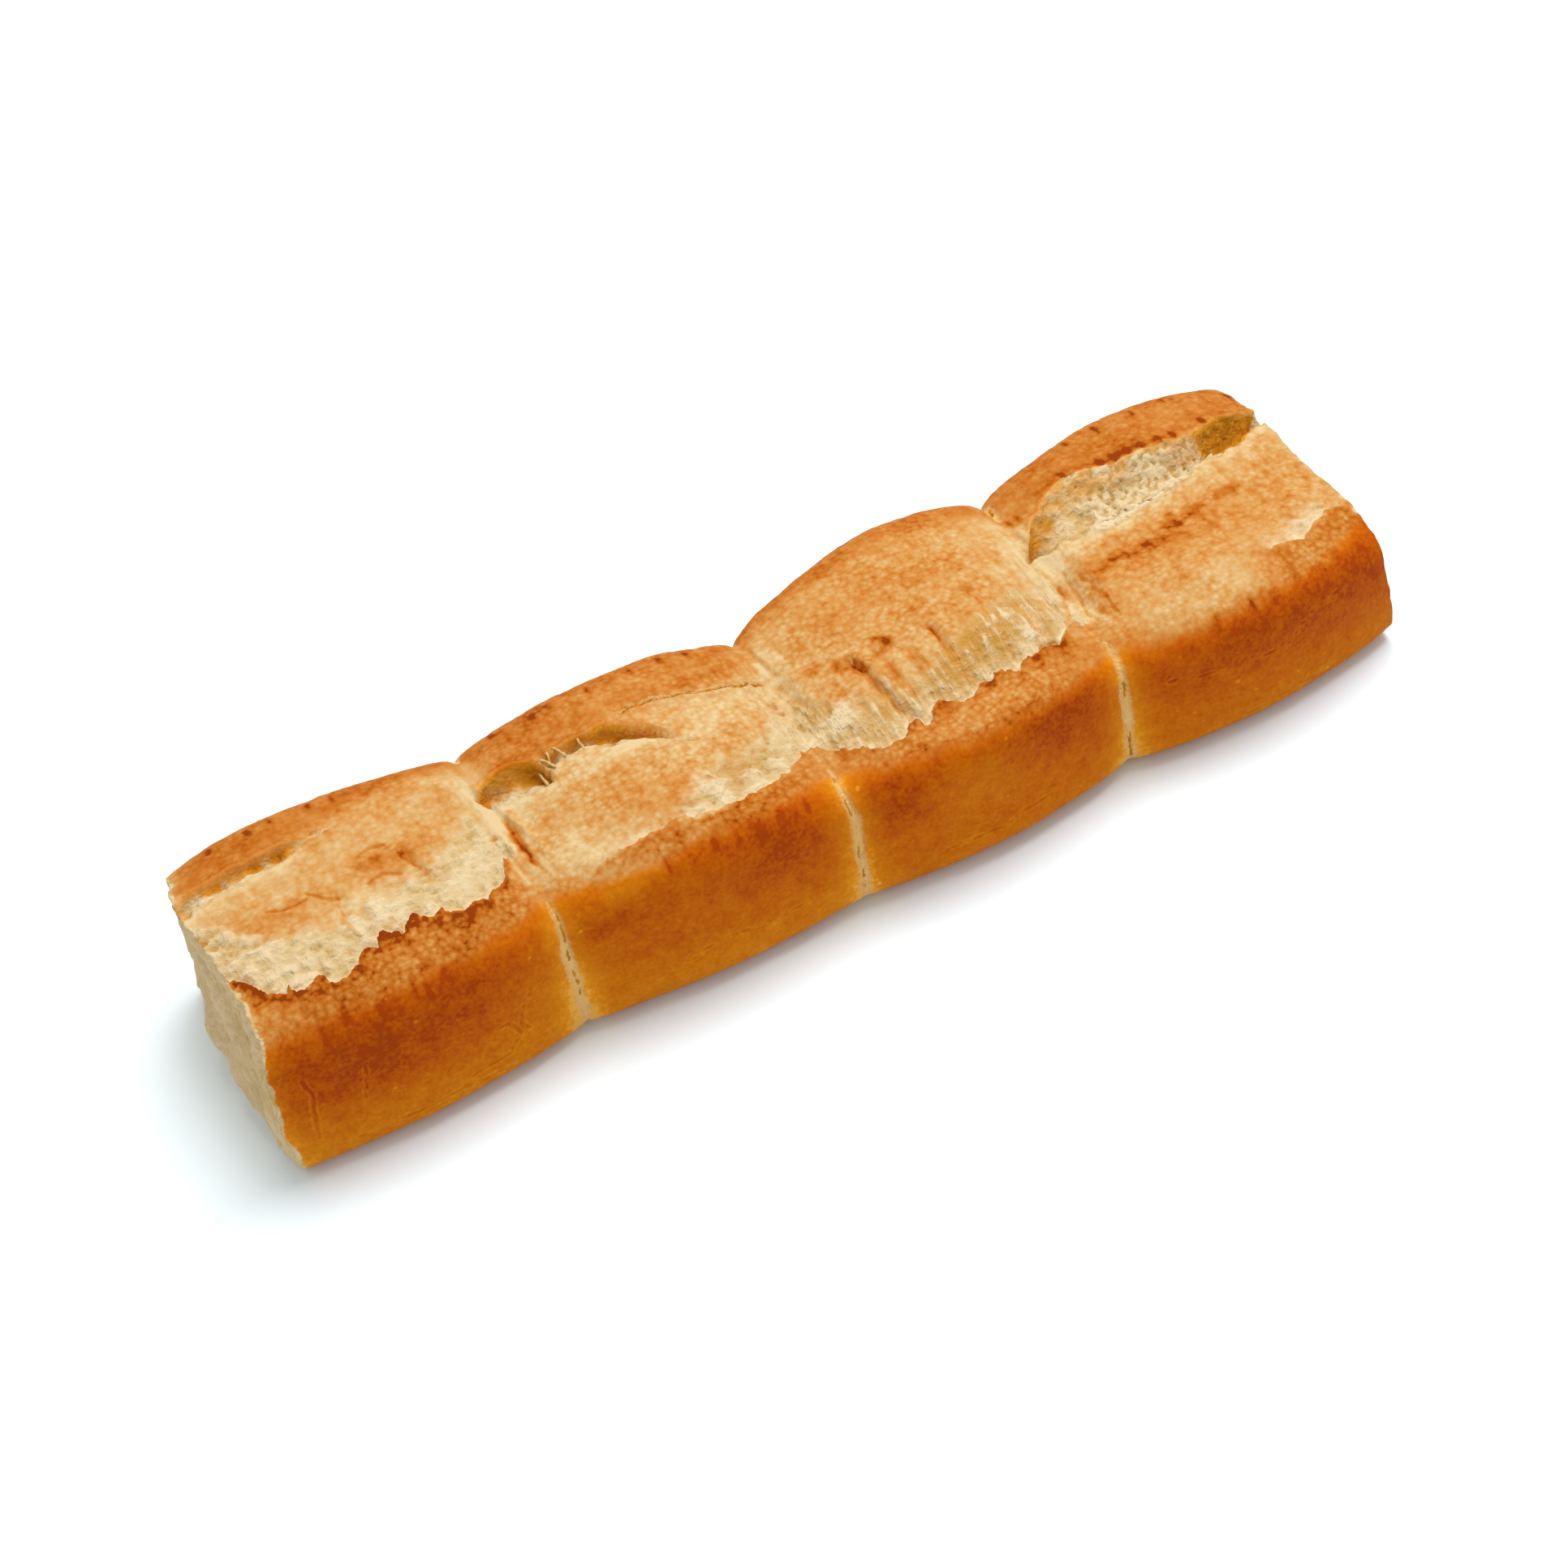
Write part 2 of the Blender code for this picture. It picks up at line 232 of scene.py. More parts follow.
# Each tear: its line, how high its lip stands, how far the crumb drops inside it, how singed
# the lip is, and how pale the crumb is next to it.
FRONT_TEARS = (
    {
        "line": (
            (-152, 13), (-149, 15), (-147, 18), (-145, 22), (-141, 24), (-140, 21.5), (-139, 24),
            (-136, 25), (-132, 23.5), (-130, 26.5), (-127, 27), (-124, 25.5), (-120, 21.5), (-117, 23),
            (-116, 20.5), (-114, 19), (-110, 22), (-108, 18.5), (-106, 18), (-102, 22), (-99.5, 19.5),
            (-98, 22.5), (-95, 23.5), (-90, 22.5), (-86, 21.5), (-83, 20), (-80.5, 14),
        ),
        "lip": 1.1, "drop": 1.6, "singe": 1.5, "pale": 0.8,
    },
    {
        "line": (
            (-60, 28), (-50, 27.5), (-45, 28), (-40, 27), (-36, 28.5), (-30, 29.5), (-20, 28),
            (-15, 27.5), (-10, 25.5), (-5, 23), (-1, 21),
        ),
        "lip": 0.5, "drop": 1.0, "singe": 0.1, "pale": 0.25,
    },
    {
        "line": (
            (0, 20), (3, 23), (6, 25), (10, 27), (14, 30), (18, 31), (21, 30), (22.5, 27.5), (26, 27.5),
            (27, 30), (28.5, 29), (30, 25.5), (33, 25), (36, 26.5), (38, 28.5), (43, 27), (44.5, 24.5),
            (47, 26), (50, 24), (53, 25), (54.5, 27.5), (58, 25), (62, 24.5), (67, 24.6), (69, 23.2),
            (72, 21.4), (75, 20),
        ),
        "lip": 1.0, "drop": 1.8, "singe": 0.9, "pale": 0.9,
    },
    {
        "line": ((130, 27), (137, 27.5), (140, 25), (145, 22), (148, 21)),
        "lip": 0.4, "drop": 0.8, "singe": 0.1, "pale": 0.6,
    },
)
FAR = 20.0
LIP_LENGTH = 4.5
DROP_LENGTH = 6.0
TEAR_FADE = 4.0
TEETH_DEEP = 0.8
OVERHANG = 0.5
OVERHANG_LENGTH = 1.2
STEP_ACROSS = (-0.55, 0.45)
SINGE_LENGTH = 1.6

height = np.zeros_like(across)
shift = np.zeros_like(across)
singe = np.zeros_like(across)
tear_gap = np.full_like(across, -FAR)
pale_edge = np.zeros_like(across)
spotted = 0.5 + 1.1 * ramp(-0.1, 0.7, bumps(along / 2.6, across / 4.0, 13))
teeth = TEETH_DEEP * (lumps(along / 2.4, 0.2, 11) + 0.7 * rough(along / 1.5, 0.0, 12))
for tear in FRONT_TEARS:
    outside = across - line_at(tear["line"], along) - teeth
    present = stretch(tear["line"], along, TEAR_FADE)
    step = ramp(*STEP_ACROSS, outside)
    past_lip = np.maximum(outside, 0.0)
    lip = tear["lip"] * np.exp(-past_lip / LIP_LENGTH)
    drop = -tear["drop"] * np.exp(np.minimum(outside, 0.0) / DROP_LENGTH)
    height += present * (drop + (lip - drop) * step)
    shift -= present * OVERHANG * tear["lip"] * step * np.exp(-past_lip / OVERHANG_LENGTH)
    pale_edge = np.maximum(pale_edge, present * tear["pale"])
    singed = np.exp(-np.maximum(outside - 1.0, 0.0) / SINGE_LENGTH)
    singe += present * tear["singe"] * step * spotted * singed
    tear_gap = np.where(present > 0.02, -outside, tear_gap)


# ----------------------------------------------------------
# The slashes' open backs: the baker's cut lifted a lip of crust, whose broken thickness shows
# over the crumb.  The first roll has a shallow groove, the second two pockets, and the last one
# long trough with a porous wall.  The hollows are painted olive as shade, and their depths
# brown as deeper painted shade.

# Each opening: the lines of its lip and of its far side, its depth, the part of the way across
# where that is reached, how ragged its edges are and how bright the broken crust is; then, from
# place to place along it, how porous the wall is, how dark the painted shade in the hollow is,
# and how far across that painted shade reaches.
OPENINGS = (
    {
        "lip": ((-156, -13), (-150, -18), (-140, -19.5), (-125, -19), (-111, -18)),
        "far": ((-156, -8.4), (-150, -11.2), (-140, -12.6), (-125, -14.4), (-111, -18)),
        "deep": 2.8, "deepest": 0.35, "ragged": 1.9, "bright": 0.7, "porous": ((-156, 0.5), (-111, 0.4)),
        "shade_strength": (
            (-156, 0.8), (-148, 0.6), (-143, 1.3), (-138, 0.8), (-133, 1.2), (-129, 0.8), (-126, 1.4),
            (-111, 1.4),
        ),
        "shade_reach": (
            (-156, 0.7), (-150.5, 0.8), (-149.4, 0.2), (-147, 0.1), (-144, 0.6), (-141, 0.55),
            (-139.6, 0.2), (-138.2, 0.7), (-131, 0.6), (-129.6, 0.2), (-128.2, 0.8), (-122, 0.9),
            (-120, -0.4), (-116, -0.4), (-114.5, 1.1), (-111, 1.1),
        ),
    },
    {
        "lip": (
            (-78.5, -8), (-77, -10.5), (-74.5, -12.5), (-71.5, -13.2), (-68, -13.2), (-65, -12.2),
            (-62.5, -10.5), (-60.7, -7.7), (-59.8, -4.7), (-59, 0),
        ),
        "far": ((-78.5, -8), (-76, -3.5), (-73.5, -2), (-70, -1.4), (-64, -0.6), (-59, 0)),
        "deep": 5.0, "deepest": 0.35, "ragged": 1.0, "bright": 1.0, "porous": ((-78, 0.3), (-59, 0.3)),
        "shade_strength": ((-78, 1.3), (-75, 1.1), (-70, 1.0), (-66, 1.05), (-62, 1.35), (-59, 1.2)),
        "shade_reach": (
            (-78, 1.1), (-75.5, 0.7), (-74, 0.44), (-70, 0.38), (-65, 0.4), (-62.5, 0.6), (-60, 0.9),
        ),
    },
    {
        "lip": (
            (-59.5, -7), (-58, -8.8), (-53, -9.5), (-48, -9.8), (-42.4, -9.6), (-38, -7), (-33.7, -3.5),
            (-31, -0.5), (-29, 2.8), (-26.4, 5.7), (-23.6, 8),
        ),
        "far": (
            (-59.5, -7), (-58, -4.5), (-53.8, -5.1), (-50, -5.5), (-46, -3.6), (-42, -1.9), (-36, 0.2),
            (-31.4, 2.4), (-28, 5), (-23.6, 8),
        ),
        "deep": 3.8, "deepest": 0.35, "ragged": 1.3, "bright": 1.0, "porous": ((-59, 0.4), (-23, 0.2)),
        "shade_strength": ((-59, 1.25), (-52, 1.0), (-46, 1.1), (-38, 1.35), (-31, 1.3), (-23, 1.1)),
        "shade_reach": ((-58, 0.2), (-52, 0.2), (-47, 0.3), (-43, 0.4), (-38, 0.8), (-30, 0.9), (-24, 0.6)),
    },
    {
        "lip": (
            (76, -6), (79, -13), (84, -18), (91, -23), (96.5, -25.8), (105, -24.3), (112, -22.7),
            (119, -22.7), (128, -21.3), (136.5, -21), (140.5, -23), (148, -23.6), (154, -23),
            (162, -22.5),
        ),
        "far": (
            (76, -6), (82, -6.2), (86.5, -6), (92, -5), (98, -3.8), (107, -4), (118, -5.5), (132.5, -9.6),
            (142.5, -11.3), (154, -16), (162, -17),
        ),
        "deep": 6.0, "deepest": 0.6, "ragged": 1.5, "bright": 0.45,
        "shade_strength": (
            (76, 1.6), (80, 1.2), (84, 0.8), (130, 0.7), (134, 1.05), (137, 1.35), (146, 1.5), (150, 1.3),
            (162, 1.2),
        ),
        "porous": ((76, 0.1), (94, 0.15), (100, 1.0), (137, 1.0), (141, 0.5), (162, 0.5)),
        "shade_reach": (
            (76, 1.0), (78.5, 0.8), (82, 0.4), (88, 0.26), (96, 0.2), (104, 0.26), (112, 0.1),
            (122, 0.16), (130, 0.34), (135, 0.36), (137.2, 1.1), (147, 1.1), (151, 1.0), (162, 1.0),
        ),
    },
)
FULL_WIDTH = 6.0
CRUST_LIP = 1.2
CRUST_THICK = 1.1
LIP_STEEPER = 0.2
LIP_SINGE = 0.8
LIP_SINGE_LENGTH = 1.2
HOLE_DEEP = 0.9
EDGE_RAGGED = 0.42
OLIVE_WANDER = 0.2
OLIVE_BLUR = 0.18

opening = np.full_like(across, -FAR)
shade = np.zeros_like(across)
porous = np.zeros_like(across)
pale_lip = np.zeros_like(across)
thickness = np.zeros_like(across)
ragged = EDGE_RAGGED * rough(along / 3.6, 0.0, 21)
deepest_hollow = np.zeros_like(across)
highest_lip = np.zeros_like(across)
for slot in OPENINGS:
    lip = line_at(slot["lip"], along) + ragged * slot["ragged"]
    far = line_at(slot["far"], along) - ragged * slot["ragged"]
    present = (along >= slot["lip"][0][0]) * (along <= slot["lip"][-1][0])
    present = present * ramp(0.0, FULL_WIDTH, far - lip)
    way = (across - lip) / np.maximum(far - lip, 0.5)
    inside = across - lip
    hollow = slot["deep"] * ramp(0.0, slot["deepest"], way) * ramp(1.0, slot["deepest"], way)
    raised = CRUST_LIP * np.exp(np.minimum(inside, 0.0) / LIP_LENGTH) * ramp(slot["deepest"], 0.0, way)
    deepest_hollow = np.maximum(deepest_hollow, present * hollow)
    highest_lip = np.maximum(highest_lip, present * raised)
    shift += present * slot["deep"] * LIP_STEEPER * np.exp(np.minimum(inside / 3.0, -inside / 1.8))
    edge = np.where(present > 0.001, np.minimum(inside - CRUST_THICK * present, far - across), -FAR)
    opening = np.maximum(opening, edge)
    porous = np.maximum(porous, present * line_at(slot["porous"], along) * ramp(-0.5, 0.8, edge))
    # Paler just past the far side: the bloom's unbrowned edge, and partly a painted highlight on that
    # ridge.
    pale_lip = np.maximum(pale_lip, present * np.exp(-np.abs(across - far - 1.0) / 1.8))
    # Painted shade in the hollow: from the lip out to a wandering line, as strong as given here.
    shade_reach = line_at(slot["shade_reach"], along) + OLIVE_WANDER * rough(along / 3.4, across / 2.6, 22, 3)
    painted_shade_here = present * ramp(OLIVE_BLUR, -OLIVE_BLUR, way - shade_reach) * (way > 0.0)
    shade = np.maximum(shade, painted_shade_here * line_at(slot["shade_strength"], along))
    singe += present * LIP_SINGE * np.exp(-np.abs(inside + 0.5) / LIP_SINGE_LENGTH)
    broken = ramp(-0.5, 0.4, inside) * ramp(CRUST_THICK + 1.2, CRUST_THICK, inside)
    thickness = np.maximum(thickness, present * slot["bright"] * broken)
holes = porous * pits(along / 2.0, across / 1.8, 24)
height += highest_lip - deepest_hollow - HOLE_DEEP * holes


# ----------------------------------------------------------
# The risen insides: smooth dips where a roll's inside stayed lower than its crust, the rough
# crumb that shows between it and the front tear, and the folds of the third roll's steep face.

# Each dip, and each spot below: along, across, half length, half width, and how much.
DIPS = (
    (40, 26, 44, 17, 4.5), (-18, 24, 20, 12, 1.5), (116, 2, 50, 22, 2.8), (79, 6, 9, 24, 4.0),
    (0, 2, 8, 20, 2.5),
)
CRUMB_LINE = (
    (-156, -12), (-150, -8), (-146, -2), (-141, 5), (-134, 8), (-124, 12), (-116, 9), (-104, 7), (-96, 6),
    (-88, 2), (-82, -6), (-77, 12), (-72, 22), (-64, 27), (-45, 27), (-40, 27.5), (-36, 24.5),
    (-30, 19.5), (-24, 16), (-12, 16), (-5, 8), (2, 4), (12, 13), (28, 17), (40, 13), (50, 10), (62, 5),
    (72, 2), (78, 0), (84, 12), (92, 34), (104, 30), (110, 24), (117, 24), (121, 32), (130, 25),
    (138, 21), (146, 19), (156, 22),
)
FOLD_FADE = 3.0
CREASE_HALF = 0.8
# Each fold: how deep it is, and its line as (across, along).
FOLDS = (
    (2.2, ((3, 20), (7, 21.3), (11, 21.8), (18, 23.3), (24, 24.3))),
    (0.5, ((8, 27), (14, 28), (20, 29.5))),
    (0.5, ((9, 33.5), (18, 34.8))),
    (1.4, ((5, 42.2), (12, 42.6), (18, 43.2), (23, 44.4))),
    (0.4, ((12, 48), (21, 48.6))),
    (0.4, ((6, 55), (20, 57))),
    (0.5, ((-4, 63), (10, 64.5), (20, 67))),
    (0.5, ((-8, 69), (6, 70), (16, 73))),
    (0.5, ((-3, 2), (2, 3.2), (8, 5.3))),
    (0.7, ((-1, -100.5), (4, -99), (9, -98))),
    (0.5, ((2, -120), (5, -118.6), (9, -119))),
    (0.4, ((2, -74.6), (12, -74.2))),
)


def from_middle(place_along, place_across, half_along, half_across):
    """How far each point lies from the middle of an oval on the crust: 0 there and 1 on its rim."""
    return np.hypot((along - place_along) / half_along, (across - place_across) / half_across)


for *oval, deep in DIPS:
    height -= deep * ramp(1.0, 0.0, from_middle(*oval))
soft_crumb = across - line_at(CRUMB_LINE, along)
rough_crumb = ramp(0.0, 1.0, tear_gap) * ramp(-3.0, 3.0, soft_crumb)
fold_line = np.zeros_like(across)
for deep, line in FOLDS:
    lined = stretch(line, across, FOLD_FADE)
    off = along - line_at(line, across) - 0.5 * bumps(across / 4.0, 0.0, 31)
    crease = np.exp(-np.abs(off) / CREASE_HALF) - 0.6 * np.exp(-((off - 1.8) / 1.4) ** 2)
    height -= deep * lined * crease
    # A fold's line is kept for the finish, which paints its crease with shade.
    fold_line = np.maximum(fold_line, lined * np.exp(-((off + 0.1) / 0.7) ** 2) * min(deep, 1.0))


# ----------------------------------------------------------
# The seams: where two rolls grew together the crust never formed.  On the sides a narrow
# strip of crumb with a crack shows, the crack painted dark as shade, and over the top the pale
# skin is drawn out in fibres.

SEAM_STRIP = 1.25
STRIP_STARTS = 30.0
FIBRE_REACH = 10.0
SEAM_FILL = 2.2
SEAM_WANDER = 0.45
STRIP_PITS_DEEP = 0.5
STRIP_SUNK = 0.3
FIBRE_DEEP = 0.55
SMALL_PIT_DEEP = 1.6
NOT_NEAR = 9.0
SMALL_PITS = (
    (66.8, 23.6, 2.0, 1.7), (64.0, 22.6, 1.0, 0.9), (75, 19, 1.8, 3.0), (-1.5, 1.5, 1.0, 1.0),
    (-0.8, 4.5, 0.9, 0.9), (-79.5, 6, 0.9, 1.0), (-150.4, -11.8, 1.5, 1.5), (-151.4, -1.2, 1.1, 1.5),
    (-150.6, 15.0, 0.8, 0.9),
)

level_seams = (0.0,) * len(SEAMS)
swollen = swell(along, level_seams, RISE, BACK_FULLEST)
swollen += (swell(along, level_seams, FRONT_SWELL, FRONT_FULLEST) - swollen) * ramp(20.0, 40.0, across)
swollen += (swell(along, level_seams, BACK_SWELL, BACK_FULLEST) - swollen) * ramp(-18.0, -36.0, across)
seam_off = 0.0 * across
for which, seam in enumerate(SEAMS[1:-1]):
    near = np.abs(along - seam) == inner_seam
    seam_off = np.where(near, (-1.0) ** which * (along - seam), seam_off)
seam_off = np.clip(seam_off, -NOT_NEAR, NOT_NEAR) + SEAM_WANDER * rough(across / 6.0, 0.0, 41)
on_sides = np.maximum(ramp(STRIP_STARTS - 4.0, STRIP_STARTS + 16.0, across), ramp(-22.0, -34.0, across))
uneven_width = 1.0 + 0.35 * rough(across / 5.0, 3.5, 44, 3)
seam_half = SEAM_STRIP * on_sides ** 0.5 * uneven_width - 0.6 * (on_sides < 0.01)
strip = ramp(-0.8, 0.8, seam_half - np.abs(seam_off))
fibre = ramp(FIBRE_REACH, 1.0, inner_seam) * ramp(-24.0, -12.0, across) * ramp(30.0, 20.0, across)
filled = SEAM_FILL * ramp(-30.0, -16.0, across)
height += np.cbrt(swollen ** 3 + filled ** 3) - swollen
height -= strip * (STRIP_PITS_DEEP * pits(along / 2.2, across / 3.4, 42) + STRIP_SUNK)
height += fibre * FIBRE_DEEP * rough(along / 1.5 - 0.12 * across, across / 14.0, 43, 3)
# Each small pit is dug into the crumb and painted with shade.
for oval in SMALL_PITS:
    off = from_middle(*oval)
    height -= SMALL_PIT_DEEP * ramp(1.3, 0.0, off)
    shade = np.maximum(shade, ramp(1.4, 0.3, off))


# ----------------------------------------------------------
# Surface of the crust and crumb: broad unevenness all over, crumb in soft lumps with a few
# bubbles, and the thin crack over the back of the second roll.

CRACK = (
    (-36, -10.6), (-33.9, -11.1), (-30.9, -11.1), (-26.9, -11.1), (-23.1, -10), (-19.3, -9.2),
    (-16.4, -8.5), (-12.5, -7.4), (-9.3, -7.4), (-6.8, -6.0), (-3.6, -7.0), (-1, -6.6),
)
CRUMB_ROUGH = 1.7
BROAD_ROUGH = 0.45
CRUST_ROUGH = 0.12
CRACK_DEEP = 1.1

above_base = ramp(0.0, 6.0, rings[..., 2])
in_opening = ramp(-0.4, 0.8, opening)
crumbly = np.maximum(rough_crumb, in_opening)
drawn_out = np.maximum(ramp(-10.0, 2.0, along) * ramp(90.0, 76.0, along), fibre)
threads = 0.42 * lumps(along / 2.9 - 0.06 * across, across / 9.0, 53, 3)
threads += 0.6 * lumps(along / 6.0, across / 6.0, 50, 3)
lump = lumps(along / 5.4, across / 4.4, 52) + 0.3 * lumps(along / 1.9, across / 1.7, 59, 2)
lump *= 1.0 - drawn_out
# Inside the openings the lumps are raised on the porous wall and lowered elsewhere; as the finish reads
# them for tone, this paints light on the wall and shade in the rest of the hollow.
lump += threads * drawn_out + (0.62 * porous - 0.3) * in_opening * ramp(0.75, 0.25, holes)
height += above_base * BROAD_ROUGH * rough(along / 19.0, across / 15.0, 51, 3)
height += crumbly * CRUMB_ROUGH * (0.8 * lump + 0.12 * rough(along / 1.6, across / 1.6, 57, 2))
height += on_top * (1.0 - crumbly) * CRUST_ROUGH * rough(along / 1.8, across / 1.8, 55, 2)
crack_off = across - line_at(CRACK, along) - 0.45 * rough(along / 2.4, 0.0, 56)
crack_here = stretch(CRACK, along, 2.0)
crack_rim = 0.5 * np.exp(-((crack_off - 1.6) / 1.2) ** 2)
height -= crack_here * (CRACK_DEEP * np.exp(-(crack_off / 0.7) ** 2) - crack_rim)


# ----------------------------------------------------------
# Hairline creases, where the crust shrank as it cooled: brown lines about a millimetre
# wide with a paler rim, which the finish draws from the distance kept here.

HAIRLINES = (
    ((-144.2, 45.7), (-143.2, 51), (-143.6, 56.5), (-145.6, 67.4)),
    ((-131, 49.2), (-132, 55), (-134.1, 63.8)),
    ((-127.1, 64.1), (-124, 66.5), (-120.7, 65.1), (-117.5, 63.4)),
    ((-100.4, 61.4), (-97.7, 58.9), (-95.7, 58.5), (-93.8, 61.9), (-90.9, 63.1)),
    ((-111.2, 72), (-98, 69.3), (-93.5, 64), (-91.2, 57.3), (-87.7, 48.7)),
    ((-137.9, 73.6), (-117.3, 74.5), (-97.5, 73.9)),
    ((-50, 70), (-38, 66), (-27, 70), (-16, 66)),
    ((22, 70), (38, 73), (55, 68)),
    ((89, 47.7), (106, 54), (121.9, 55.4), (130.8, 46.1), (140.6, 44.1)),
    ((110, 74.5), (124, 73), (136.1, 69.4)),
    ((-111.1, -5.6), (-107, -6.5), (-103, -5.7)),
    ((-101.1, -1.6), (-99.4, 2.5), (-98, 7.8)),
    ((-119, 2.3), (-119.8, 7), (-121.2, 11.4), (-119.6, 17.5)),
    ((-124.9, -1.1), (-122, 1.6), (-120.5, 4)),
    ((-135.2, -1.4), (-131, 0.5), (-126, 0)),
    ((-111.1, 3.7), (-107.2, 2.1), (-103, 4.5)),
    ((82.2, 1.3), (81.5, 10), (80.1, 18.3)),
    ((85, 4.1), (85.8, 14), (85.6, 23.5)),
    ((79.7, 3), (77.5, 11), (74.4, 18.6)),
    ((42.1, 4.8), (43.4, 15.8), (44.2, 19.7)),
    ((35.8, 6.7), (35.6, 14.9)),
    ((56.2, -1.2), (57.2, 3.5), (56.2, 8.3)),
    ((-75.2, 2.2), (-74.6, 12.6), (-73.8, 20.5)),
)
HAIRLINE_DEEP = 0.25
HAIRLINE_WIDE = 0.7

hairline = np.full_like(across, NOT_NEAR)
wander_along, wander_across = (0.5 * rough(along / 3.0, across / 3.0, seed, 2) for seed in (82, 85))
for line in HAIRLINES:
    for start, end in zip(line[:-1], line[1:]):
        run, rise = end[0] - start[0], end[1] - start[1]
        past_along = along + wander_along - start[0]
        past_across = across + wander_across - start[1]
        part = np.clip((past_along * run + past_across * rise) / (run ** 2 + rise ** 2), 0.0, 1.0)
        hairline = np.minimum(hairline, np.hypot(past_along - part * run, past_across - part * rise))
height -= HAIRLINE_DEEP * np.exp(-(hairline / HAIRLINE_WIDE) ** 2)


# ----------------------------------------------------------
# The broken ends: the crust stops in a ragged rim and the crumb bulges past it, most at the
# foot, pulled into lumps and hollows where the next roll came away.

LEFT_LEAN = 2.8
RIGHT_LEAN = 2.8
OFF_SQUARE = 0.03
LEAN_LENGTH = 30.0
LEFT_BULGE = 2.2
RIGHT_BULGE = 1.5
LOW_BULGE = 0.8
CRUMB_HEART = 0.45
LEFT_RINGS = 26
RIGHT_RINGS = 16
RIM_RAGGED = 0.45
SMALLEST_RING = 0.012
LEFT_LUMPS = ((7, 14, 10, 1.5), (-8, 10, 9, 1.3), (-16, 9, 7, 0.6), (23, 9, 8, -0.8), (-27, 9, 7, -0.7))
LEFT_RIM_LINE = (
    (-86, 0), (-72, -2.2), (-55, -2), (-42, -0.8), (-28, -0.4), (-20, 1.4), (-12, 1.8), (-4, 0.8),
    (5, 0.4), (14, 0), (29, 0), (36, 2.2), (45, 3.6), (58, 3.6), (66, 1.6), (75, 0),
)


def lean(points, rim, how_far):
    """How far each point moves along the row as an end leans out at its foot and lies off square."""
    near_end = ramp(rim - np.copysign(LEAN_LENGTH, rim), rim, points[..., 0])
    low = np.clip(1.0 - points[..., 2] / SEAM_HEIGHT[-1], 0.0, 1.0)
    return near_end * (np.copysign(how_far, rim) * ramp(0.0, 1.0, low) - OFF_SQUARE * points[..., 1])


def end_rings(rim, filled_rim, bulge, extra, count, seed):
    """Rings over a broken end, drawn in towards the heart of the crumb as they bulge out, with lumps.

    Each extra lump adds its own share of the bulge, most at its (y, z) and none past its half width.
    """
    share = (1.0 - np.linspace(0.0, 1.0, count + 1)[1:] ** 1.5)[:, None, None]
    share = np.maximum(share, SMALLEST_RING)
    heart = np.array([0.0, 0.0, CRUMB_HEART * rim[:, 2].max()])
    drawn = heart + share * (filled_rim + (rim - filled_rim) * share ** 4 - heart)
    low = np.clip(1.0 - drawn[..., 2] / heart[2], -1.0, 1.0)
    uneven = 0.7 * rough(drawn[..., 1] / 9.0, drawn[..., 2] / 7.0, seed, 4)
    uneven -= 0.5 * pits(drawn[..., 1] / 3.0, drawn[..., 2] / 2.4, seed + 9)
    uneven *= ramp(1.0, 0.9, share[..., 0]) * ramp(0.0, 0.25, share[..., 0])
    more = 1.0 + LOW_BULGE * low
    for y, z, half, by in extra:
        more = more + by * ramp(1.0, 0.0, np.hypot(drawn[..., 1] - y, drawn[..., 2] - z) / half)
    out_of_rim = bulge * (1.0 - share[..., 0] ** 4) * more
    drawn[..., 0] = share[..., 0] ** 2 * (rim[:, 0] - rim[:, 0].mean()) + rim[:, 0].mean()
    drawn[..., 0] += out_of_rim + np.sign(bulge) * 1.5 * uneven
    return drawn, uneven


filled_rims = rings[0], rings[-1]
rings = rings + out * (height * above_base)[..., None] + frontwards * (shift * above_base)[..., None]
rings[..., 0] += lean(rings, LEFT_RIM, LEFT_LEAN) + lean(rings, RIGHT_RIM, RIGHT_LEAN)
near_rims = ramp(LEFT_RIM + 8.0, LEFT_RIM, along) + 0.5 * ramp(RIGHT_RIM - 8.0, RIGHT_RIM, along)
rings[..., 0] += RIM_RAGGED * rough(across / 3.5, 0.0, 61) * near_rims
rings[..., 0] -= ramp(LEFT_RIM + 25.0, LEFT_RIM, along) * line_at(LEFT_RIM_LINE, across)
left, left_lump = end_rings(rings[0], filled_rims[0], -LEFT_BULGE, LEFT_LUMPS, LEFT_RINGS, 62)
right, right_lump = end_rings(rings[-1], filled_rims[1], RIGHT_BULGE, (), RIGHT_RINGS, 72)
rings[..., 2] = np.maximum(rings[..., 2], 0.0)


# ----------------------------------------------------------
# Browning: how strongly each place is baked, 0 pale to 1 dark.  The sides are darkest just
# under the shoulder, the lips and strips outside the slash are browner than the inside that
# burst out late, and the seams and ends, which touched other rolls, stayed pale.

SHOULDER = (
    (-156, 31), (-146, 33.5), (-120, 34.5), (-100, 34), (-85, 31), (-78, 27), (-72, 28.5), (-62, 32),
    (-50, 34.5), (-20, 34.5), (-8, 32), (-1, 29), (4, 30.5), (12, 35), (22, 38), (35, 40), (50, 40.5),
    (60, 39), (70, 35), (76, 31), (81, 31), (88, 35.5), (100, 38), (115, 39.5), (130, 37.5), (142, 33.5),
    (152, 27.5), (156, 26),
)
SHOULDER_WANDER = 0.7
SIDE_HEIGHT = 44.0
SIDE_BAKED = ((0.0, 0.75), (0.1, 0.88), (0.3, 0.87), (0.55, 0.68), (0.8, 0.48), (1.0, 0.36))
STRIP_BAKED = 0.66
BLOOM_BAKED = 0.32
BACK_LINE = (
    (-156, -16), (-140, -19), (-112, -21), (-92, -27), (-80, -24), (-76, -9), (-56, -10), (-36, -11),
    (0, -10), (6, -24), (40, -29), (74, -27), (80, -16), (86, -21), (156, -24),
)
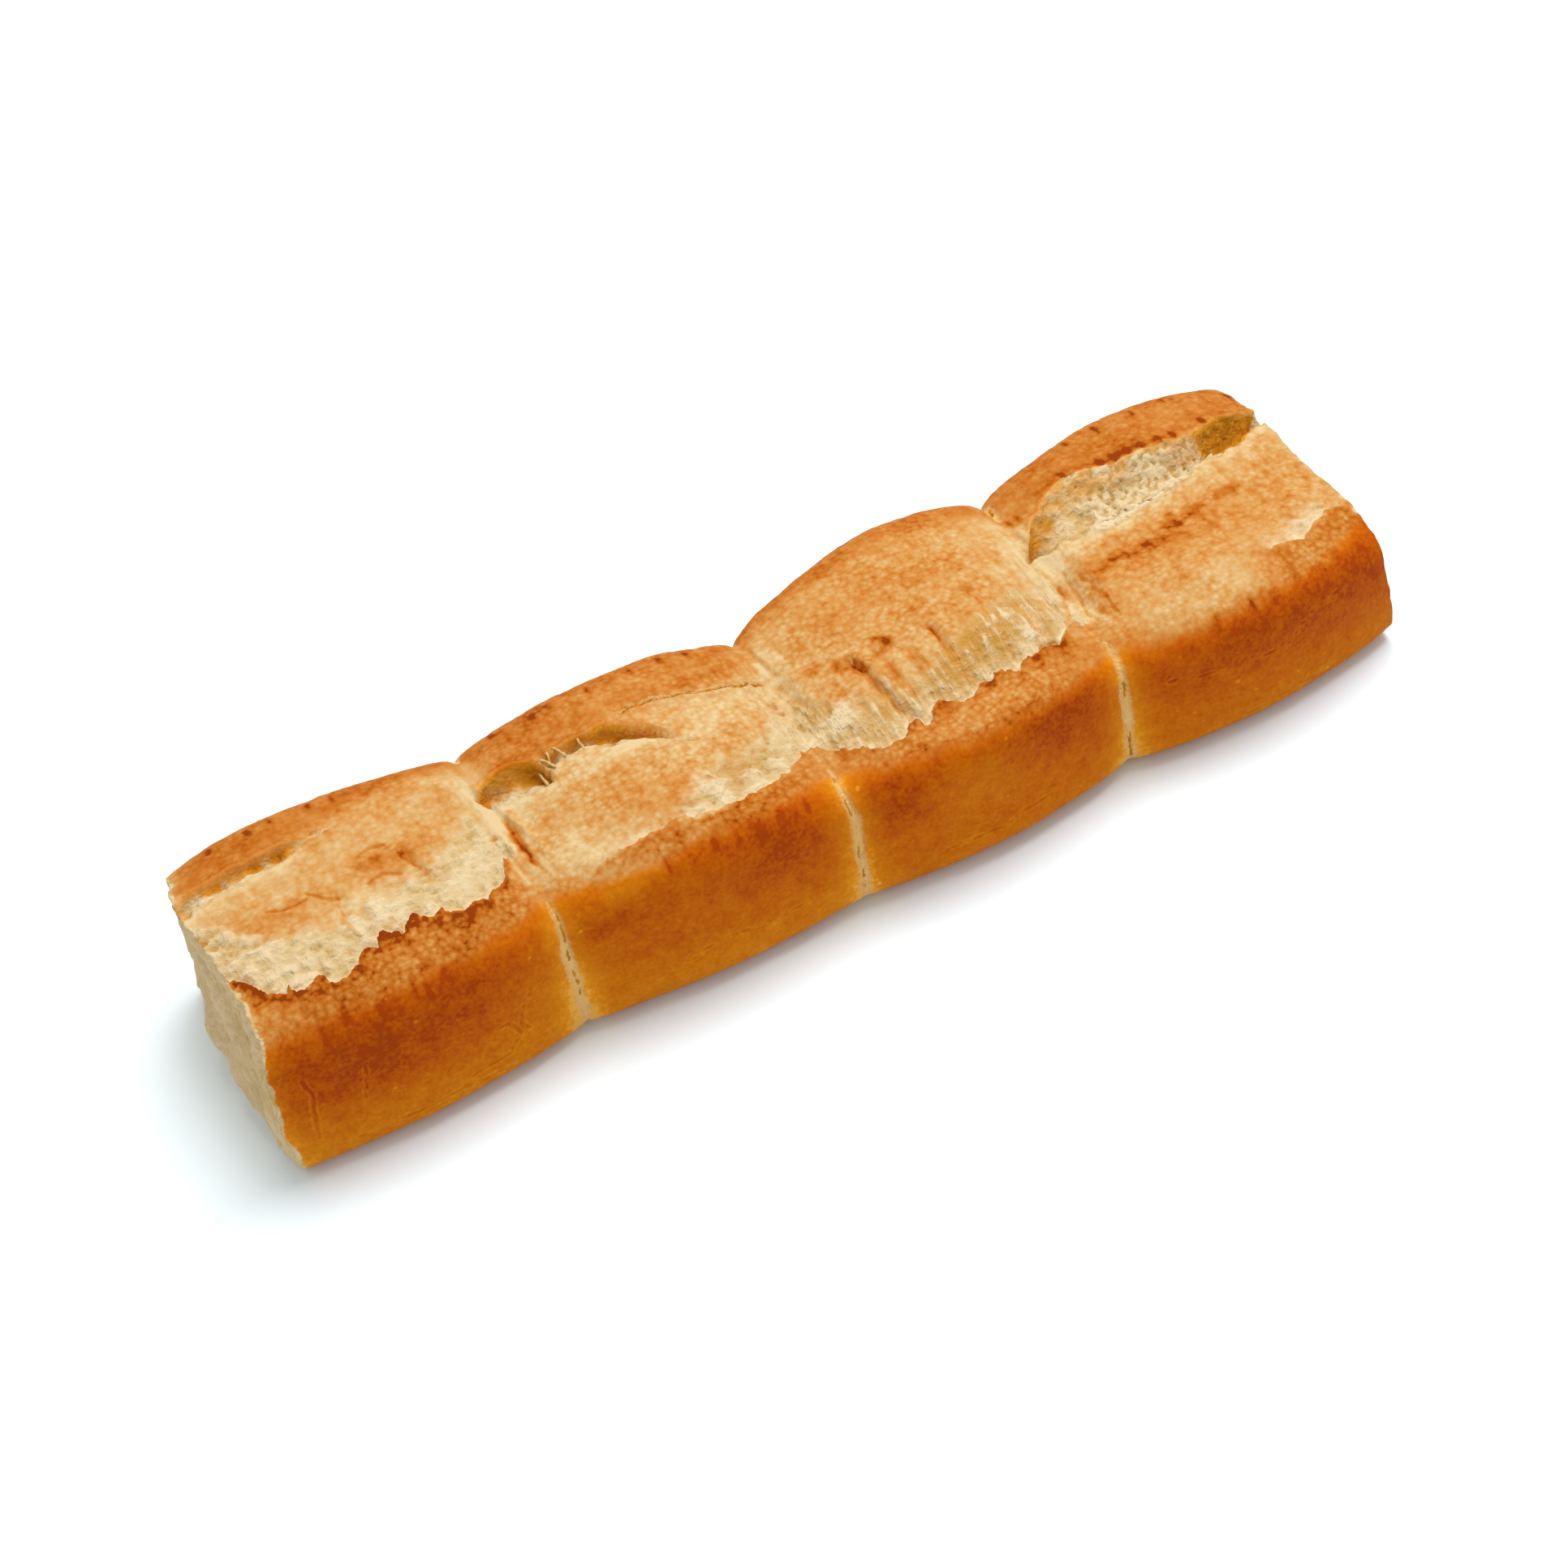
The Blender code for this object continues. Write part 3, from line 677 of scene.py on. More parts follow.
# Spots browned more than what is round them, or less where the last number is below 0.
BROWNER = (
    (-103, -3, 34, 10, -0.01), (36, -14, 36, 14, 0.12), (-127, 57, 18, 12, 0.14), (-92, -26, 16, 5, 0.19),
    (-116, 7, 4, 4, -0.14), (-53, 11, 7, 6, -0.06), (-19, 5, 7, 5, -0.08), (62, -15, 8, 8, -0.07),
    (112, 8, 7, 4, 0.08), (31, 50, 12, 12, -0.1), (-89, 14, 7, 5, -0.1), (87, 8, 2, 9, 0.22),
    (84.5, 18, 1.6, 7, 0.22), (79.5, 2, 1.2, 8, 0.1), (-130, 46, 18, 12, 0.05), (-104, 50, 12, 10, 0.03),
    (-86, 48, 12, 24, -0.12), (-89, 13, 8, 6, -0.1), (30, 70, 30, 8, 0.06), (-17, 46, 12, 12, 0.05),
    (-60, 35, 12, 6, -0.34), (-48, 44, 18, 12, -0.14), (10, 46, 6, 14, 0.06), (34, 54, 22, 14, -0.2),
    (60, 44, 10, 8, 0.06), (20, 62, 10, 8, 0.06), (92, 46, 10, 9, -0.02), (116, 42, 9, 5, 0.06),
    # The spot at (148, 56) darkens the right end of the last roll's side: painted shade, against the lamp
    # that lights that side more.
    (140, 40, 12, 6, 0.04), (110, 56, 18, 10, -0.06), (148, 56, 14, 24, 0.05), (115, 6, 44, 14, 0.17),
    (96, 12, 14, 10, 0.08), (112, -2, 40, 3, -0.12), (124, 14, 22, 8, 0.08), (118, -34, 40, 12, 0.02),
    (-118, -22, 34, 4, 0.04), (-108, -18, 20, 5, 0.1), (-137, 3, 6, 4, 0.18), (-131, 2, 6, 4, 0.12),
    (-111, -3, 4, 4, 0.22), (-104, -2, 7, 4, 0.26), (-112, 3, 3, 4, 0.02), (-104, 5, 3, 2, 0.14),
    (-97, -2, 8, 5, 0.12), (-146, -6, 3, 3, 0.14), (-123, -1, 5, 3, 0.1), (-138, -26, 20, 6, 0.07),
    (-104, -19, 14, 6, -0.02), (-110, 20, 8, 2, 0.2), (-148.5, 19, 2.5, 5, 0.26), (-74.6, 9, 1.8, 9, 0.6),
    (-74, 17, 2.5, 4, 0.2), (-58, 12, 14, 7, 0.08), (-47, 6, 8, 3, 0.12), (-46, 16, 8, 6, 0.14),
    (-37, 21, 5, 4, 0.26), (-36, 17, 4, 3, 0.16), (-65, 22, 9, 9, -0.22), (-46, 1, 14, 4, -0.14),
    (-28, 8, 9, 6, -0.12), (-18, 9, 5, 4, 0.08), (-9, 8, 4, 8, 0.08), (-30, 14, 5, 4, 0.04),
    (-14, -2, 12, 5, -0.12), (-36, -9, 5, 3, 0.1), (-30, -20, 22, 5, -0.12), (-60, -22, 16, 5, 0.1),
    (-15, 3, 10, 7, -0.1), (21, 6, 2.4, 3.0, 0.52), (30, 2.5, 3.2, 2.6, 0.66), (18, 2, 3, 2.4, 0.28),
    (12, -1, 4, 2.5, 0.2), (13, 11, 4, 4, 0.24), (27, 13, 3, 4, 0.22), (34, 13, 2, 4, 0.2),
    (24, 6, 6, 4, 0.12), (56, -3, 1.6, 2, 0.26), (41, 0, 3, 3, 0.14), (40, -13, 36, 6, 0.08),
    (56, 4, 18, 10, 0.06), (68, -4, 7, 10, -0.16), (6, -4, 6, 12, -0.06), (30, -26, 36, 6, 0.08),
    (91, 7, 3, 2.4, 0.36), (97.5, 6, 4, 2.6, 0.44), (106, 7, 4, 2.4, 0.4), (113, 3, 4, 2.4, 0.46),
    (120, 3.5, 5, 2.4, 0.46), (130, 1.5, 5, 2, 0.36), (145, -3, 6, 2, 0.26), (98, -1, 4, 2, 0.14),
    (114, -2, 12, 3, 0.1), (138, 20, 2, 2, 0.24), (83, 6, 3, 12, 0.04), (88, 24, 4, 5, 0.1),
    (99, 26, 4, 2, 0.14), (124, 26, 3, 2, 0.18), (96, 18, 14, 8, -0.04), (88, -2, 4, 4, -0.18),
    (124, -31, 18, 4, -0.04), (100, -30, 14, 5, 0.03), (118, -23, 26, 2.0, 0.18), (140, 32, 10, 4, -0.16),
    # The spot at (67, 24.4) is the dark of a pit at the third roll's tear, painted as shade on the crust
    # beside it.
    (104, 33, 14, 4, -0.1), (67, 24.4, 2.2, 1.6, 0.55), (32, 30, 3, 3, 0.14), (48, 27, 3, 2, 0.12),
    (24, 28.5, 3, 2, 0.1), (40, 32, 34, 5, -0.2), (-33.5, 28.8, 5, 1.5, -0.5), (-142, 5.5, 3, 3, -0.16),
    (-116, 8, 5, 4, -0.16), (-64, 29.5, 5, 2.4, -0.14), (143, 23, 4, 3, -0.2), (112, 26.5, 5, 2.5, -0.14),
)
# Small dark blisters in a row under the shoulder and along the back: along, across, how dark.
BURNT_TICKS = (
    (-131, 35, 0.4), (-123, 37, 0.45), (-114, 35.5, 0.35), (-111, 38, 0.45), (-106, 36, 0.3),
    (-137, 37, 0.25), (-47, 36.5, 0.4), (-35, 37, 0.45), (-23, 37.5, 0.5), (-10, 36, 0.3),
    (-29, 38.5, 0.25), (-17, 35.5, 0.25), (105, 38, 0.3), (115, 38.5, 0.45), (121, 40, 0.25),
    (-140, -29, 0.4), (-130, -29, 0.5), (-124, -29.5, 0.35), (-114, -29, 0.5), (-108, -29, 0.35),
    (-66, -26, 0.35), (-55, -24, 0.5), (-51, -25, 0.35), (-40, -23, 0.3), (-28, -24, 0.45),
    (-20, -24, 0.3), (-13, -24, 0.35), (98, -25, 0.6), (108, -23.6, 0.6), (112, -23, 0.65),
    (116, -22.8, 0.65), (120, -22.6, 0.6), (125, -22, 0.6), (129, -21.6, 0.6), (139, -23, 0.55),
    (106, -37.3, 0.35), (115, -37.6, 0.45), (126, -37, 0.35), (136, -37, 0.45), (152.5, -31.3, 0.5),
    (81.6, -20.6, 0.5), (78.8, -19.7, 0.4),
)
TICK_HALF = (0.8, 2.0)
SCORCH_RAGGED = 0.5
PALE_RIM = 0.45
PALE_RIM_LENGTH = 2.4
PALE_SEAM = 0.06
PALE_SEAM_SIDE = 0.55
PALE_SEAM_LENGTH = 5.0
FIBRES_PALER = 0.22
LIP_PALER = 0.3
BROKEN_PALER = 0.38
SINGE_DARKER = 0.3
FLECKS_DARKER = 0.05
FOLDS_DARKER = 0.35
BLOOM_SPECKLED = (
    (-156, 0.55), (-84, 0.6), (-76, 0.3), (-70, 0.8), (10, 0.8), (60, 0.8), (74, 0.4), (84, 0.75),
    (156, 0.75),
)
STRIP_SPECKLED = ((-156, 0.45), (-84, 0.45), (-70, 0.2), (0, 0.1), (156, 0.1))
BACK_SMOOTHER = 0.2
# Where the torn crumb is golden, and where it is paler than that: spots as above.  The golden
# spots over the four openings are painted shade, the others toasting.
TOASTED_AND_SHADED = (
    (10, 10, 9, 8, 0.6), (24, 18, 12, 8, 0.9), (40, 15, 10, 10, 1.0), (54, 13, 12, 11, 1.0),
    (66, 12, 8, 11, 0.8), (16, 21, 12, 5, 0.45), (34, 23, 14, 4, 0.55), (-20, 20, 10, 5, 0.3),
    (-146, 12, 5, 4, 0.2), (-149, 30, 3, 60, 0.2), (115, -14, 42, 12, 0.55), (88, -16, 8, 8, 0.4),
    (-70, -8, 12, 6, 0.4), (-44, -5, 16, 5, 0.4), (-130, -16, 26, 4, 0.4), (-110, 19, 6, 2.5, 0.8),
    (50, 13, 9, 6, 1.1), (60, 16, 9, 5, 0.9), (-22, 20, 12, 5, 0.6), (-35, 23, 5, 4, 0.7),
    (12, 25, 9, 6, 0.5),
)
PALER = ((-89, 13, 8, 6, 0.45), (-37, 27.5, 3.6, 1.5, 0.8), (-141, 17, 7, 5, 0.45), (-70, 14, 4, 10, 0.3))

toasted = 0.0 * across
for *oval, more in TOASTED_AND_SHADED:
    toasted = np.maximum(toasted, more * ramp(1.4, 0.2, from_middle(*oval)))
for *oval, less in PALER:
    toasted -= less * ramp(1.4, 0.2, from_middle(*oval))
# The porous wall of an opening is made paler, towards cream: painted light.
toasted = np.where(strip > 0.5, 0.5, toasted - 0.85 * porous * in_opening)
front_edge = across - line_at(SHOULDER, along)
past_edge = np.maximum(front_edge, back_shoulder - across)
flecks = ramp(0.25, 0.85, bumps(along / 1.8, across / 6.0, 91)) * np.exp(-((past_edge - 2.5) / 3.2) ** 2)
outside_tear = 0.0 * across
for tear in FRONT_TEARS:
    outside = ramp(-2.0, 2.0, across - line_at(tear["line"], along))
    outside_tear = np.maximum(outside_tear, stretch(tear["line"], along, 14.0) * outside)
outside_back = ramp(4.0, -4.0, across - line_at(BACK_LINE, along))
outside_slash = np.maximum(np.maximum(outside_tear, outside_back), ramp(-8.0, 1.0, front_edge))
baked = BLOOM_BAKED + (STRIP_BAKED - BLOOM_BAKED) * outside_slash
down_side = np.clip(past_edge / SIDE_HEIGHT, 0.0, 1.0)
side_crust = ramp(-2.2, 2.2, past_edge + SHOULDER_WANDER * rough(along / 4.0, across / 4.0, 92, 3))
baked += (line_at(SIDE_BAKED, down_side) - baked) * side_crust
scorch_edge = SCORCH_RAGGED * rough(along / 2.6, across / 2.6, 95, 3)
for *oval, more in BROWNER:
    off = from_middle(*oval) + scorch_edge * ramp(8.0, 3.0, min(oval[2:]))
    baked += more * ramp(1.5, 0.0, off)
tick_edge = 0.35 * bumps(along / 0.9, across / 1.4, 94)
for *place, more in BURNT_TICKS:
    baked += more * ramp(1.7, 0.0, from_middle(*place, *TICK_HALF) + tick_edge)
near_seam = np.exp(-((inner_seam / PALE_SEAM_LENGTH) ** 1.5))
near_rim = np.exp(-(along - LEFT_RIM) / PALE_RIM_LENGTH)
baked -= near_seam * (PALE_SEAM + PALE_SEAM_SIDE * side_crust) + PALE_RIM * near_rim
baked -= FIBRES_PALER * fibre + LIP_PALER * pale_lip + BROKEN_PALER * thickness
# Along the folds' creases the crust is darkened as painted shade.
baked += SINGE_DARKER * np.clip(singe, 0.0, 1.2) + FLECKS_DARKER * flecks + FOLDS_DARKER * fold_line
baked += 0.2 * fibre * rough(along / 1.6 - 0.1 * across, across / 18.0, 93, 2)
speckled = line_at(BLOOM_SPECKLED, along) - BACK_SMOOTHER * outside_back
speckled += line_at(STRIP_SPECKLED, along) * outside_tear * (1.0 - outside_back)


# ----------------------------------------------------------
# The bread itself: the rings joined into one closed skin, with what the finish needs to know
# kept at each point.  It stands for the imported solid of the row.

BOX_MIDDLE = (0.76, 1.22, 0.0)
LEFT_CRUMB_RIM = 0.9
RIGHT_CRUMB_RIM = 0.3
SIDE_CRUMB_RIM = 1.5
CRUMB_RIM_WANDER = 0.6
PALE_END = 0.4
END_RELIEF = 0.9


def join_rings(rings):
    """Quads between neighbouring rings, and a fan over each end to one more point."""
    count, around = rings.shape[:2]
    here = np.arange(count * around).reshape(count, around)
    after = np.roll(here, -1, axis=1)
    quads = np.stack([here[:-1], after[:-1], after[1:], here[1:]], axis=-1).reshape(-1, 4)
    first_tip, last_tip = count * around, count * around + 1
    first = np.stack([after[0], here[0], np.full(around, first_tip)], axis=-1)
    last = np.stack([here[-1], after[-1], np.full(around, last_tip)], axis=-1)
    points = np.concatenate([rings.reshape(-1, 3), [rings[0].mean(axis=0)], [rings[-1].mean(axis=0)]])
    return points, quads, np.concatenate([first, last])


def in_metres(points):
    """The points in metres, with the middle of the row's box over the origin."""
    return (points - np.array(BOX_MIDDLE)) * MM


def make_mesh(name, points, faces):
    """A smooth mesh piece from points in metres and faces of any number of corners."""
    mesh = bpy.data.meshes.new(name)
    mesh.from_pydata(points.tolist(), [], faces)
    mesh.update()
    mesh.shade_smooth()
    piece = bpy.data.objects.new(name, mesh)
    bpy.context.scene.collection.objects.link(piece)
    return piece


def keep(piece, name, values):
    """Keeps one number for each point of a piece, which its finish reads by name."""
    layer = piece.data.attributes.new(name, "FLOAT", "POINT")
    layer.data.foreach_set("value", np.ascontiguousarray(values, dtype=np.float32))


def whole(values, at_ends):
    """A value at every point of the skin: over the crust as given, and over both ends one value."""
    around = values.shape[1]
    before = np.full(LEFT_RINGS * around, at_ends)
    after = np.full(RIGHT_RINGS * around + 2, at_ends)
    return np.concatenate([before, values.ravel(), after])


points, quads, fans = join_rings(np.concatenate([left[::-1], rings, right]))
bread = make_mesh("bread_rolls", in_metres(points), quads.tolist() + fans.tolist())
right_gap = along - RIGHT_RIM + RIGHT_CRUMB_RIM - SIDE_CRUMB_RIM * ramp(22.0, 34.0, across)
rim_gap = np.maximum(LEFT_RIM + LEFT_CRUMB_RIM - along, right_gap)
rim_gap += CRUMB_RIM_WANDER * rough(across / 3.0, 0.0, 81, 3)
over_crust_and_ends = {
    "baked": (baked, 0.1),
    "tear_gap": (tear_gap, -FAR),
    "soft_crumb": (soft_crumb, FAR),
    "clean_edge": (np.maximum(opening, rim_gap), 6.0),
    # Over both ends the crumb gets a little painted shade.
    "shade": (np.clip(shade, 0.0, 1.5), 0.15),
    "side_crust": (np.maximum(side_crust, thickness), 0.0),
    "speckled": (speckled, 0.0),
    "hairline": (hairline, NOT_NEAR),
    "toasted": (toasted, -0.28),
    "along": (along, 0.0),
    "across": (across, 0.0),
    "seam_off": (seam_off, NOT_NEAR),
    "seam_half": (seam_half, 0.0),
    "crack_off": (crack_off, NOT_NEAR),
    "crack_here": (crack_here, 0.0),
    "holes": (holes, 0.0),
    "fold_line": (fold_line, 0.0),
    "drawn_out": (drawn_out, 0.0),
    "pale_edge": (pale_edge, 0.0),
}
for name, (values, at_ends) in over_crust_and_ends.items():
    keep(bread, name, whole(values, at_ends))
# The lumps' heights are also kept for the finish, which paints the crumb darker in the low places as
# shade.
left_relief = END_RELIEF * left_lump[::-1].ravel() + PALE_END
right_relief = END_RELIEF * right_lump.ravel()
keep(bread, "lump", np.concatenate([left_relief, lump.ravel(), right_relief, (0.0, 0.0)]))


# ----------------------------------------------------------
# The finish of bread: crust that runs from cream through gold to red brown with the browning,
# speckled on the top and smooth on the sides, and pale matte crumb where it is torn.


class Signal:
    """One output of a finish's nodes, to which arithmetic adds Math nodes."""

    def __init__(self, finish, socket):
        self.finish = finish
        self.socket = socket

    def math(self, operation, *values):
        return self.finish.node("ShaderNodeMath", {"operation": operation}, dict(enumerate(values)))

    def __add__(self, other):
        return self.math("ADD", self, other)

    def __sub__(self, other):
        return self.math("SUBTRACT", self, other)

    def __rsub__(self, other):
        return self.math("SUBTRACT", other, self)

    def __mul__(self, other):
        return self.math("MULTIPLY", self, other)

    def __abs__(self):
        return self.math("ABSOLUTE", self)

    def maximum(self, other):
        return self.math("MAXIMUM", self, other)

    __radd__ = __add__
    __rmul__ = __mul__


class Finish:
    """A material made of nodes round one Principled shader."""

    def __init__(self, name, **constants):
        self.material = bpy.data.materials.new(name)
        self.material.use_nodes = True
        self.tree = self.material.node_tree
        self.shader = self.tree.nodes["Principled BSDF"]
        for socket, value in constants.items():
            self.shader.inputs[socket.replace("_", " ")].default_value = value

    def node(self, kind, settings, values, output=0):
        """Adds a node, sets it up, feeds its sockets and gives one of its outputs."""
        node = self.tree.nodes.new(kind)
        for name, value in settings.items():
            if name == "stops":
                self.set_stops(node.color_ramp, value)
            else:
                setattr(node, name, value)
        for socket, value in values.items():
            self.feed(node.inputs[socket], value)
        return Signal(self, node.outputs[output])

    def set_stops(self, color_ramp, stops):
        while len(color_ramp.elements) < len(stops):
            color_ramp.elements.new(1.0)
        for element, (place, color) in zip(color_ramp.elements, stops):
            element.position = place
            element.color = (*color, 1.0)

    def feed(self, socket, value):
        if isinstance(value, Signal):
            self.tree.links.new(value.socket, socket)
        else:
            socket.default_value = value

    def kept(self, name):
        """The number that was kept at each point of the piece under a name."""
        return self.node("ShaderNodeAttribute", {"attribute_name": name}, {}, "Fac")

    def place(self):
        return self.node("ShaderNodeTexCoord", {}, {}, "Object")

    def on_crust(self, lengthwise, crosswise):
        """The place on the crust, with its along and across each multiplied by its own share."""
        values = {"X": self.kept("along") * lengthwise, "Y": self.kept("across") * crosswise}
        return self.node("ShaderNodeCombineXYZ", {}, values)

    def noise(self, where, scale, detail=2.0, distortion=0.0):
        """Noise about 0, roughly -0.5 to 0.5; scale is in bumps for each metre of where."""
        values = {"Vector": where, "Scale": scale, "Detail": detail, "Distortion": distortion}
        return self.node("ShaderNodeTexNoise", {}, values) - 0.5

    def cells(self, where, scale):
        """Distance to the nearest of scattered points, which lie about 1 / scale of where apart."""
        return self.node("ShaderNodeTexVoronoi", {}, {"Vector": where, "Scale": scale})

    def rise(self, low, high, value):
        """0 below low, 1 above high, and smooth between them."""
        values = {"Value": value, "From Min": low, "From Max": high}
        return self.node("ShaderNodeMapRange", {"interpolation_type": "SMOOTHSTEP"}, values)

    def graded(self, stops, level):
        """The colour at a level between stops, each a level and its colour."""
        return self.node("ShaderNodeValToRGB", {"stops": stops}, {"Fac": level})

    def mix(self, part, first, second):
        """A colour that goes from first to second as part goes from 0 to 1."""
        settings = {"data_type": "RGBA"}
        return self.node("ShaderNodeMix", settings, {0: part, 6: first, 7: second}, 2)

    def bump(self, height, distance):
        """The surface's normal over a height from 0 to 1, distance metres high."""
        return self.node("ShaderNodeBump", {}, {"Height": height, "Distance": distance})


PALE_SPECK = 0.055
GOLDEN = (0.475, 0.238, 0.05, 1.0)
TOP_STOPS = (
    (0.00, (0.61, 0.455, 0.24)),
    (0.15, (0.575, 0.38, 0.165)),
    (0.3, (0.54, 0.306, 0.111)),
    (0.45, (0.514, 0.24, 0.062)),
    (0.6, (0.479, 0.18, 0.034)),
    (0.72, (0.437, 0.139, 0.018)),
    (0.84, (0.392, 0.104, 0.008)),
    (0.94, (0.333, 0.07, 0.003)),
    (1.00, (0.225, 0.036, 0.002)),
)
SIDE_STOPS = (
    (0.00, (0.74, 0.36, 0.06)),
    (0.12, (0.7, 0.26, 0.011)),
    (0.3, (0.6, 0.19, 0.006)),
    (0.5, (0.54, 0.145, 0.003)),
    (0.7, (0.48, 0.104, 0.002)),
    (0.86, (0.42, 0.073, 0.002)),
    (1.00, (0.33, 0.044, 0.002)),
)
# The crumb's colours by tone, dark to pale.  The tone follows the lumps' heights, pores and wrinkles, so
# the dark end paints shade in the low places.
CRUMB_STOPS = (
    (0.00, (0.34, 0.18, 0.036)),
    (0.25, (0.46, 0.28, 0.092)),
    (0.5, (0.55, 0.39, 0.18)),
    (0.75, (0.6, 0.45, 0.24)),
    (1.00, (0.66, 0.515, 0.31)),
)
# Olive, dark gold and brown below: painted shade in the crumb's hollows, cracks, creases and pores.
SHADE_OLIVE = (0.6, 0.245, 0.016, 1.0)
CREAM = (0.72, 0.6, 0.38, 1.0)
STRIP_GOLD = (0.8, 0.445, 0.14, 1.0)
PORE_SHADE = (0.44, 0.235, 0.04, 1.0)
DEEP_SHADE = (0.35, 0.13, 0.007, 1.0)

SHEEN = 0.015
TOP_ROUGHNESS = 0.62
SIDE_SMOOTHER = 0.12
CRUMB_ROUGHER = 0.25
RELIEF_METRES = 0.0005

# The crust: its level of browning wanders in patches, mottling, streaks and speckles.  The
# speckles' pale dots sit on the tops of the relief's small bumps and are partly painted
# highlights, and the darker net between them partly painted shade.
finish = Finish("baked_bread", Roughness=TOP_ROUGHNESS, Specular_IOR_Level=SHEEN)
kept, noise, cells, rise, mix = finish.kept, finish.noise, finish.cells, finish.rise, finish.mix
place = finish.place()
on_side = kept("side_crust")
off_side = 1.0 - on_side
grain = noise(place, 900.0, 3.0)
mottle = noise(place, 230.0, 3.0)
patches = noise(place, 60.0)
streaks = noise(finish.on_crust(0.5, 0.11), 1.0, 3.0)
dashes = noise(finish.on_crust(0.4, 0.95), 1.0)
speckle_and_glints = (cells(place, 560.0) - 0.41) * 0.46 + grain * 0.55 + dashes * 0.34
speckle_and_glints = speckle_and_glints * kept("speckled") * (patches * 1.4 + 1.0)
level = kept("baked") + speckle_and_glints * (off_side * 0.84 + 0.16) + patches * 0.18
level = level + mottle * (off_side * 0.1 + 0.46) + streaks * (off_side * 0.14 + 0.14)
level = level + grain * on_side * 0.5
specks = cells(place, 110.0) + grain * 0.05
level = level - rise(PALE_SPECK * 1.6, PALE_SPECK, specks) * on_side * 0.35
hair = kept("hairline") + grain * 0.5
level = level - rise(1.3, 0.7, hair) * on_side * 0.13
level = level + rise(0.75, 0.2, hair) * (on_side * 0.06 + 0.26)
crust = mix(on_side, finish.graded(TOP_STOPS, level), finish.graded(SIDE_STOPS, level))

# Where the crumb shows: within the tears, the openings and broken ends, the seams and the crack.
edge_noise = noise(place, 1500.0)
soft_noise = noise(place, 240.0, 4.0)
past_tear = kept("tear_gap")
within_tear = rise(-0.15, 0.15, past_tear + edge_noise)
past_soft = rise(-3.5, 3.5, kept("soft_crumb") + soft_noise * 16.0)
within_clean = rise(-0.3, 0.3, kept("clean_edge") + edge_noise * 1.2)
past_seam = kept("seam_off") + edge_noise * 1.4
within_strip = rise(-0.9, 0.7, kept("seam_half") - abs(past_seam))
crack_here = kept("crack_here")
off_crack = abs(kept("crack_off") + edge_noise * 1.2)
within_crack = rise(1.15, 0.7, off_crack) * crack_here
torn = (within_tear * past_soft).maximum(within_clean).maximum(within_strip).maximum(within_crack)

# The crumb: pale lumps, painted darker in their low places, pores and wrinkles as shade; golden
# where the oven reached it, and inside the openings as painted shade; cream next to the tears,
# and on the porous wall as painted light; and painted shade, olive to brown, in the hollows,
# cracks and creases.
bubbles = noise(place, 520.0, 4.0, 0.4)
pores = rise(0.42, 0.05, cells(place, 420.0)) * rise(-0.05, 0.15, mottle)
wrinkles = rise(0.05, 0.0, abs(noise(place, 250.0, 2.0, 0.9)))
fibres = noise(finish.on_crust(0.8, 0.13), 1.0, 3.0, 0.3) * kept("drawn_out")
# Tone of the crumb: lower in the lumps' low places, pores and wrinkles, as painted shade; bubbles and
# fibres add tone at random.
crumb_tone_and_shade = kept("lump") * 0.6 + bubbles * 0.75 + fibres * 1.3 + 0.64 - pores * 0.28 - wrinkles * 0.12
toast_shade_and_light = kept("toasted")
crumb = mix(toast_shade_and_light * rise(1.25, 0.5, crumb_tone_and_shade), finish.graded(CRUMB_STOPS, crumb_tone_and_shade), GOLDEN)
near_tear = rise(2.6, 0.4, past_tear + soft_noise * 3.0) * rise(-1.0, 0.0, past_tear)
# Cream next to the tears and wherever the toast level is below 0; on the porous wall of an opening that
# cream is painted light.
crumb = mix((near_tear * kept("pale_edge")).maximum(rise(0.0, -1.0, toast_shade_and_light)), crumb, CREAM)
crumb = mix(within_strip * 0.72, crumb, STRIP_GOLD)
seam_crack = rise(0.5, 0.15, abs(past_seam - 0.3)) * rise(0.0, 0.1, mottle) * within_strip
# Painted shade, olive: in the hollows and pits, in the seam and back cracks, along folds and hairlines.
hollow = kept("shade")
shaded = hollow.maximum(seam_crack).maximum(rise(1.05, 0.4, off_crack) * crack_here)
shaded = shaded.maximum(kept("fold_line") * 0.75).maximum(rise(0.85, 0.3, hair) * 0.6)
crumb = mix(shaded * 0.9, crumb, SHADE_OLIVE)
# Dark gold in the pores of the porous wall: painted shade.
crumb = mix(rise(0.15, 0.6, kept("holes")) * 0.6, crumb, PORE_SHADE)
# Brown in the deepest shade of the hollows and in the cracks' cores: painted shade.
deepest = (rise(1.1, 1.6, hollow + bubbles * 1.1) * 0.85).maximum(seam_crack * 0.7)
deepest = deepest.maximum(rise(0.6, 0.2, off_crack) * crack_here)
crumb = mix(deepest, crumb, DEEP_SHADE)

relief = speckle_and_glints * (1.0 - torn) * off_side * -0.8
relief = relief + torn * (bubbles * 2.0 - pores * 0.5 + fibres * 1.5) + grain * on_side * 0.25
inputs = finish.shader.inputs
finish.feed(inputs["Base Color"], mix(torn, crust, crumb))
finish.feed(inputs["Roughness"], TOP_ROUGHNESS - on_side * SIDE_SMOOTHER + torn * CRUMB_ROUGHER)
finish.feed(inputs["Normal"], finish.bump(relief, RELIEF_METRES))
bread.data.materials.append(finish.material)
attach(bread, "root")
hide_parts("roll_strip")


# ----------------------------------------------------------
# Strands: threads of dough that stayed joined across the second roll's pockets as the crust
# lifted.  They grew from the crumb and are rooted in it.

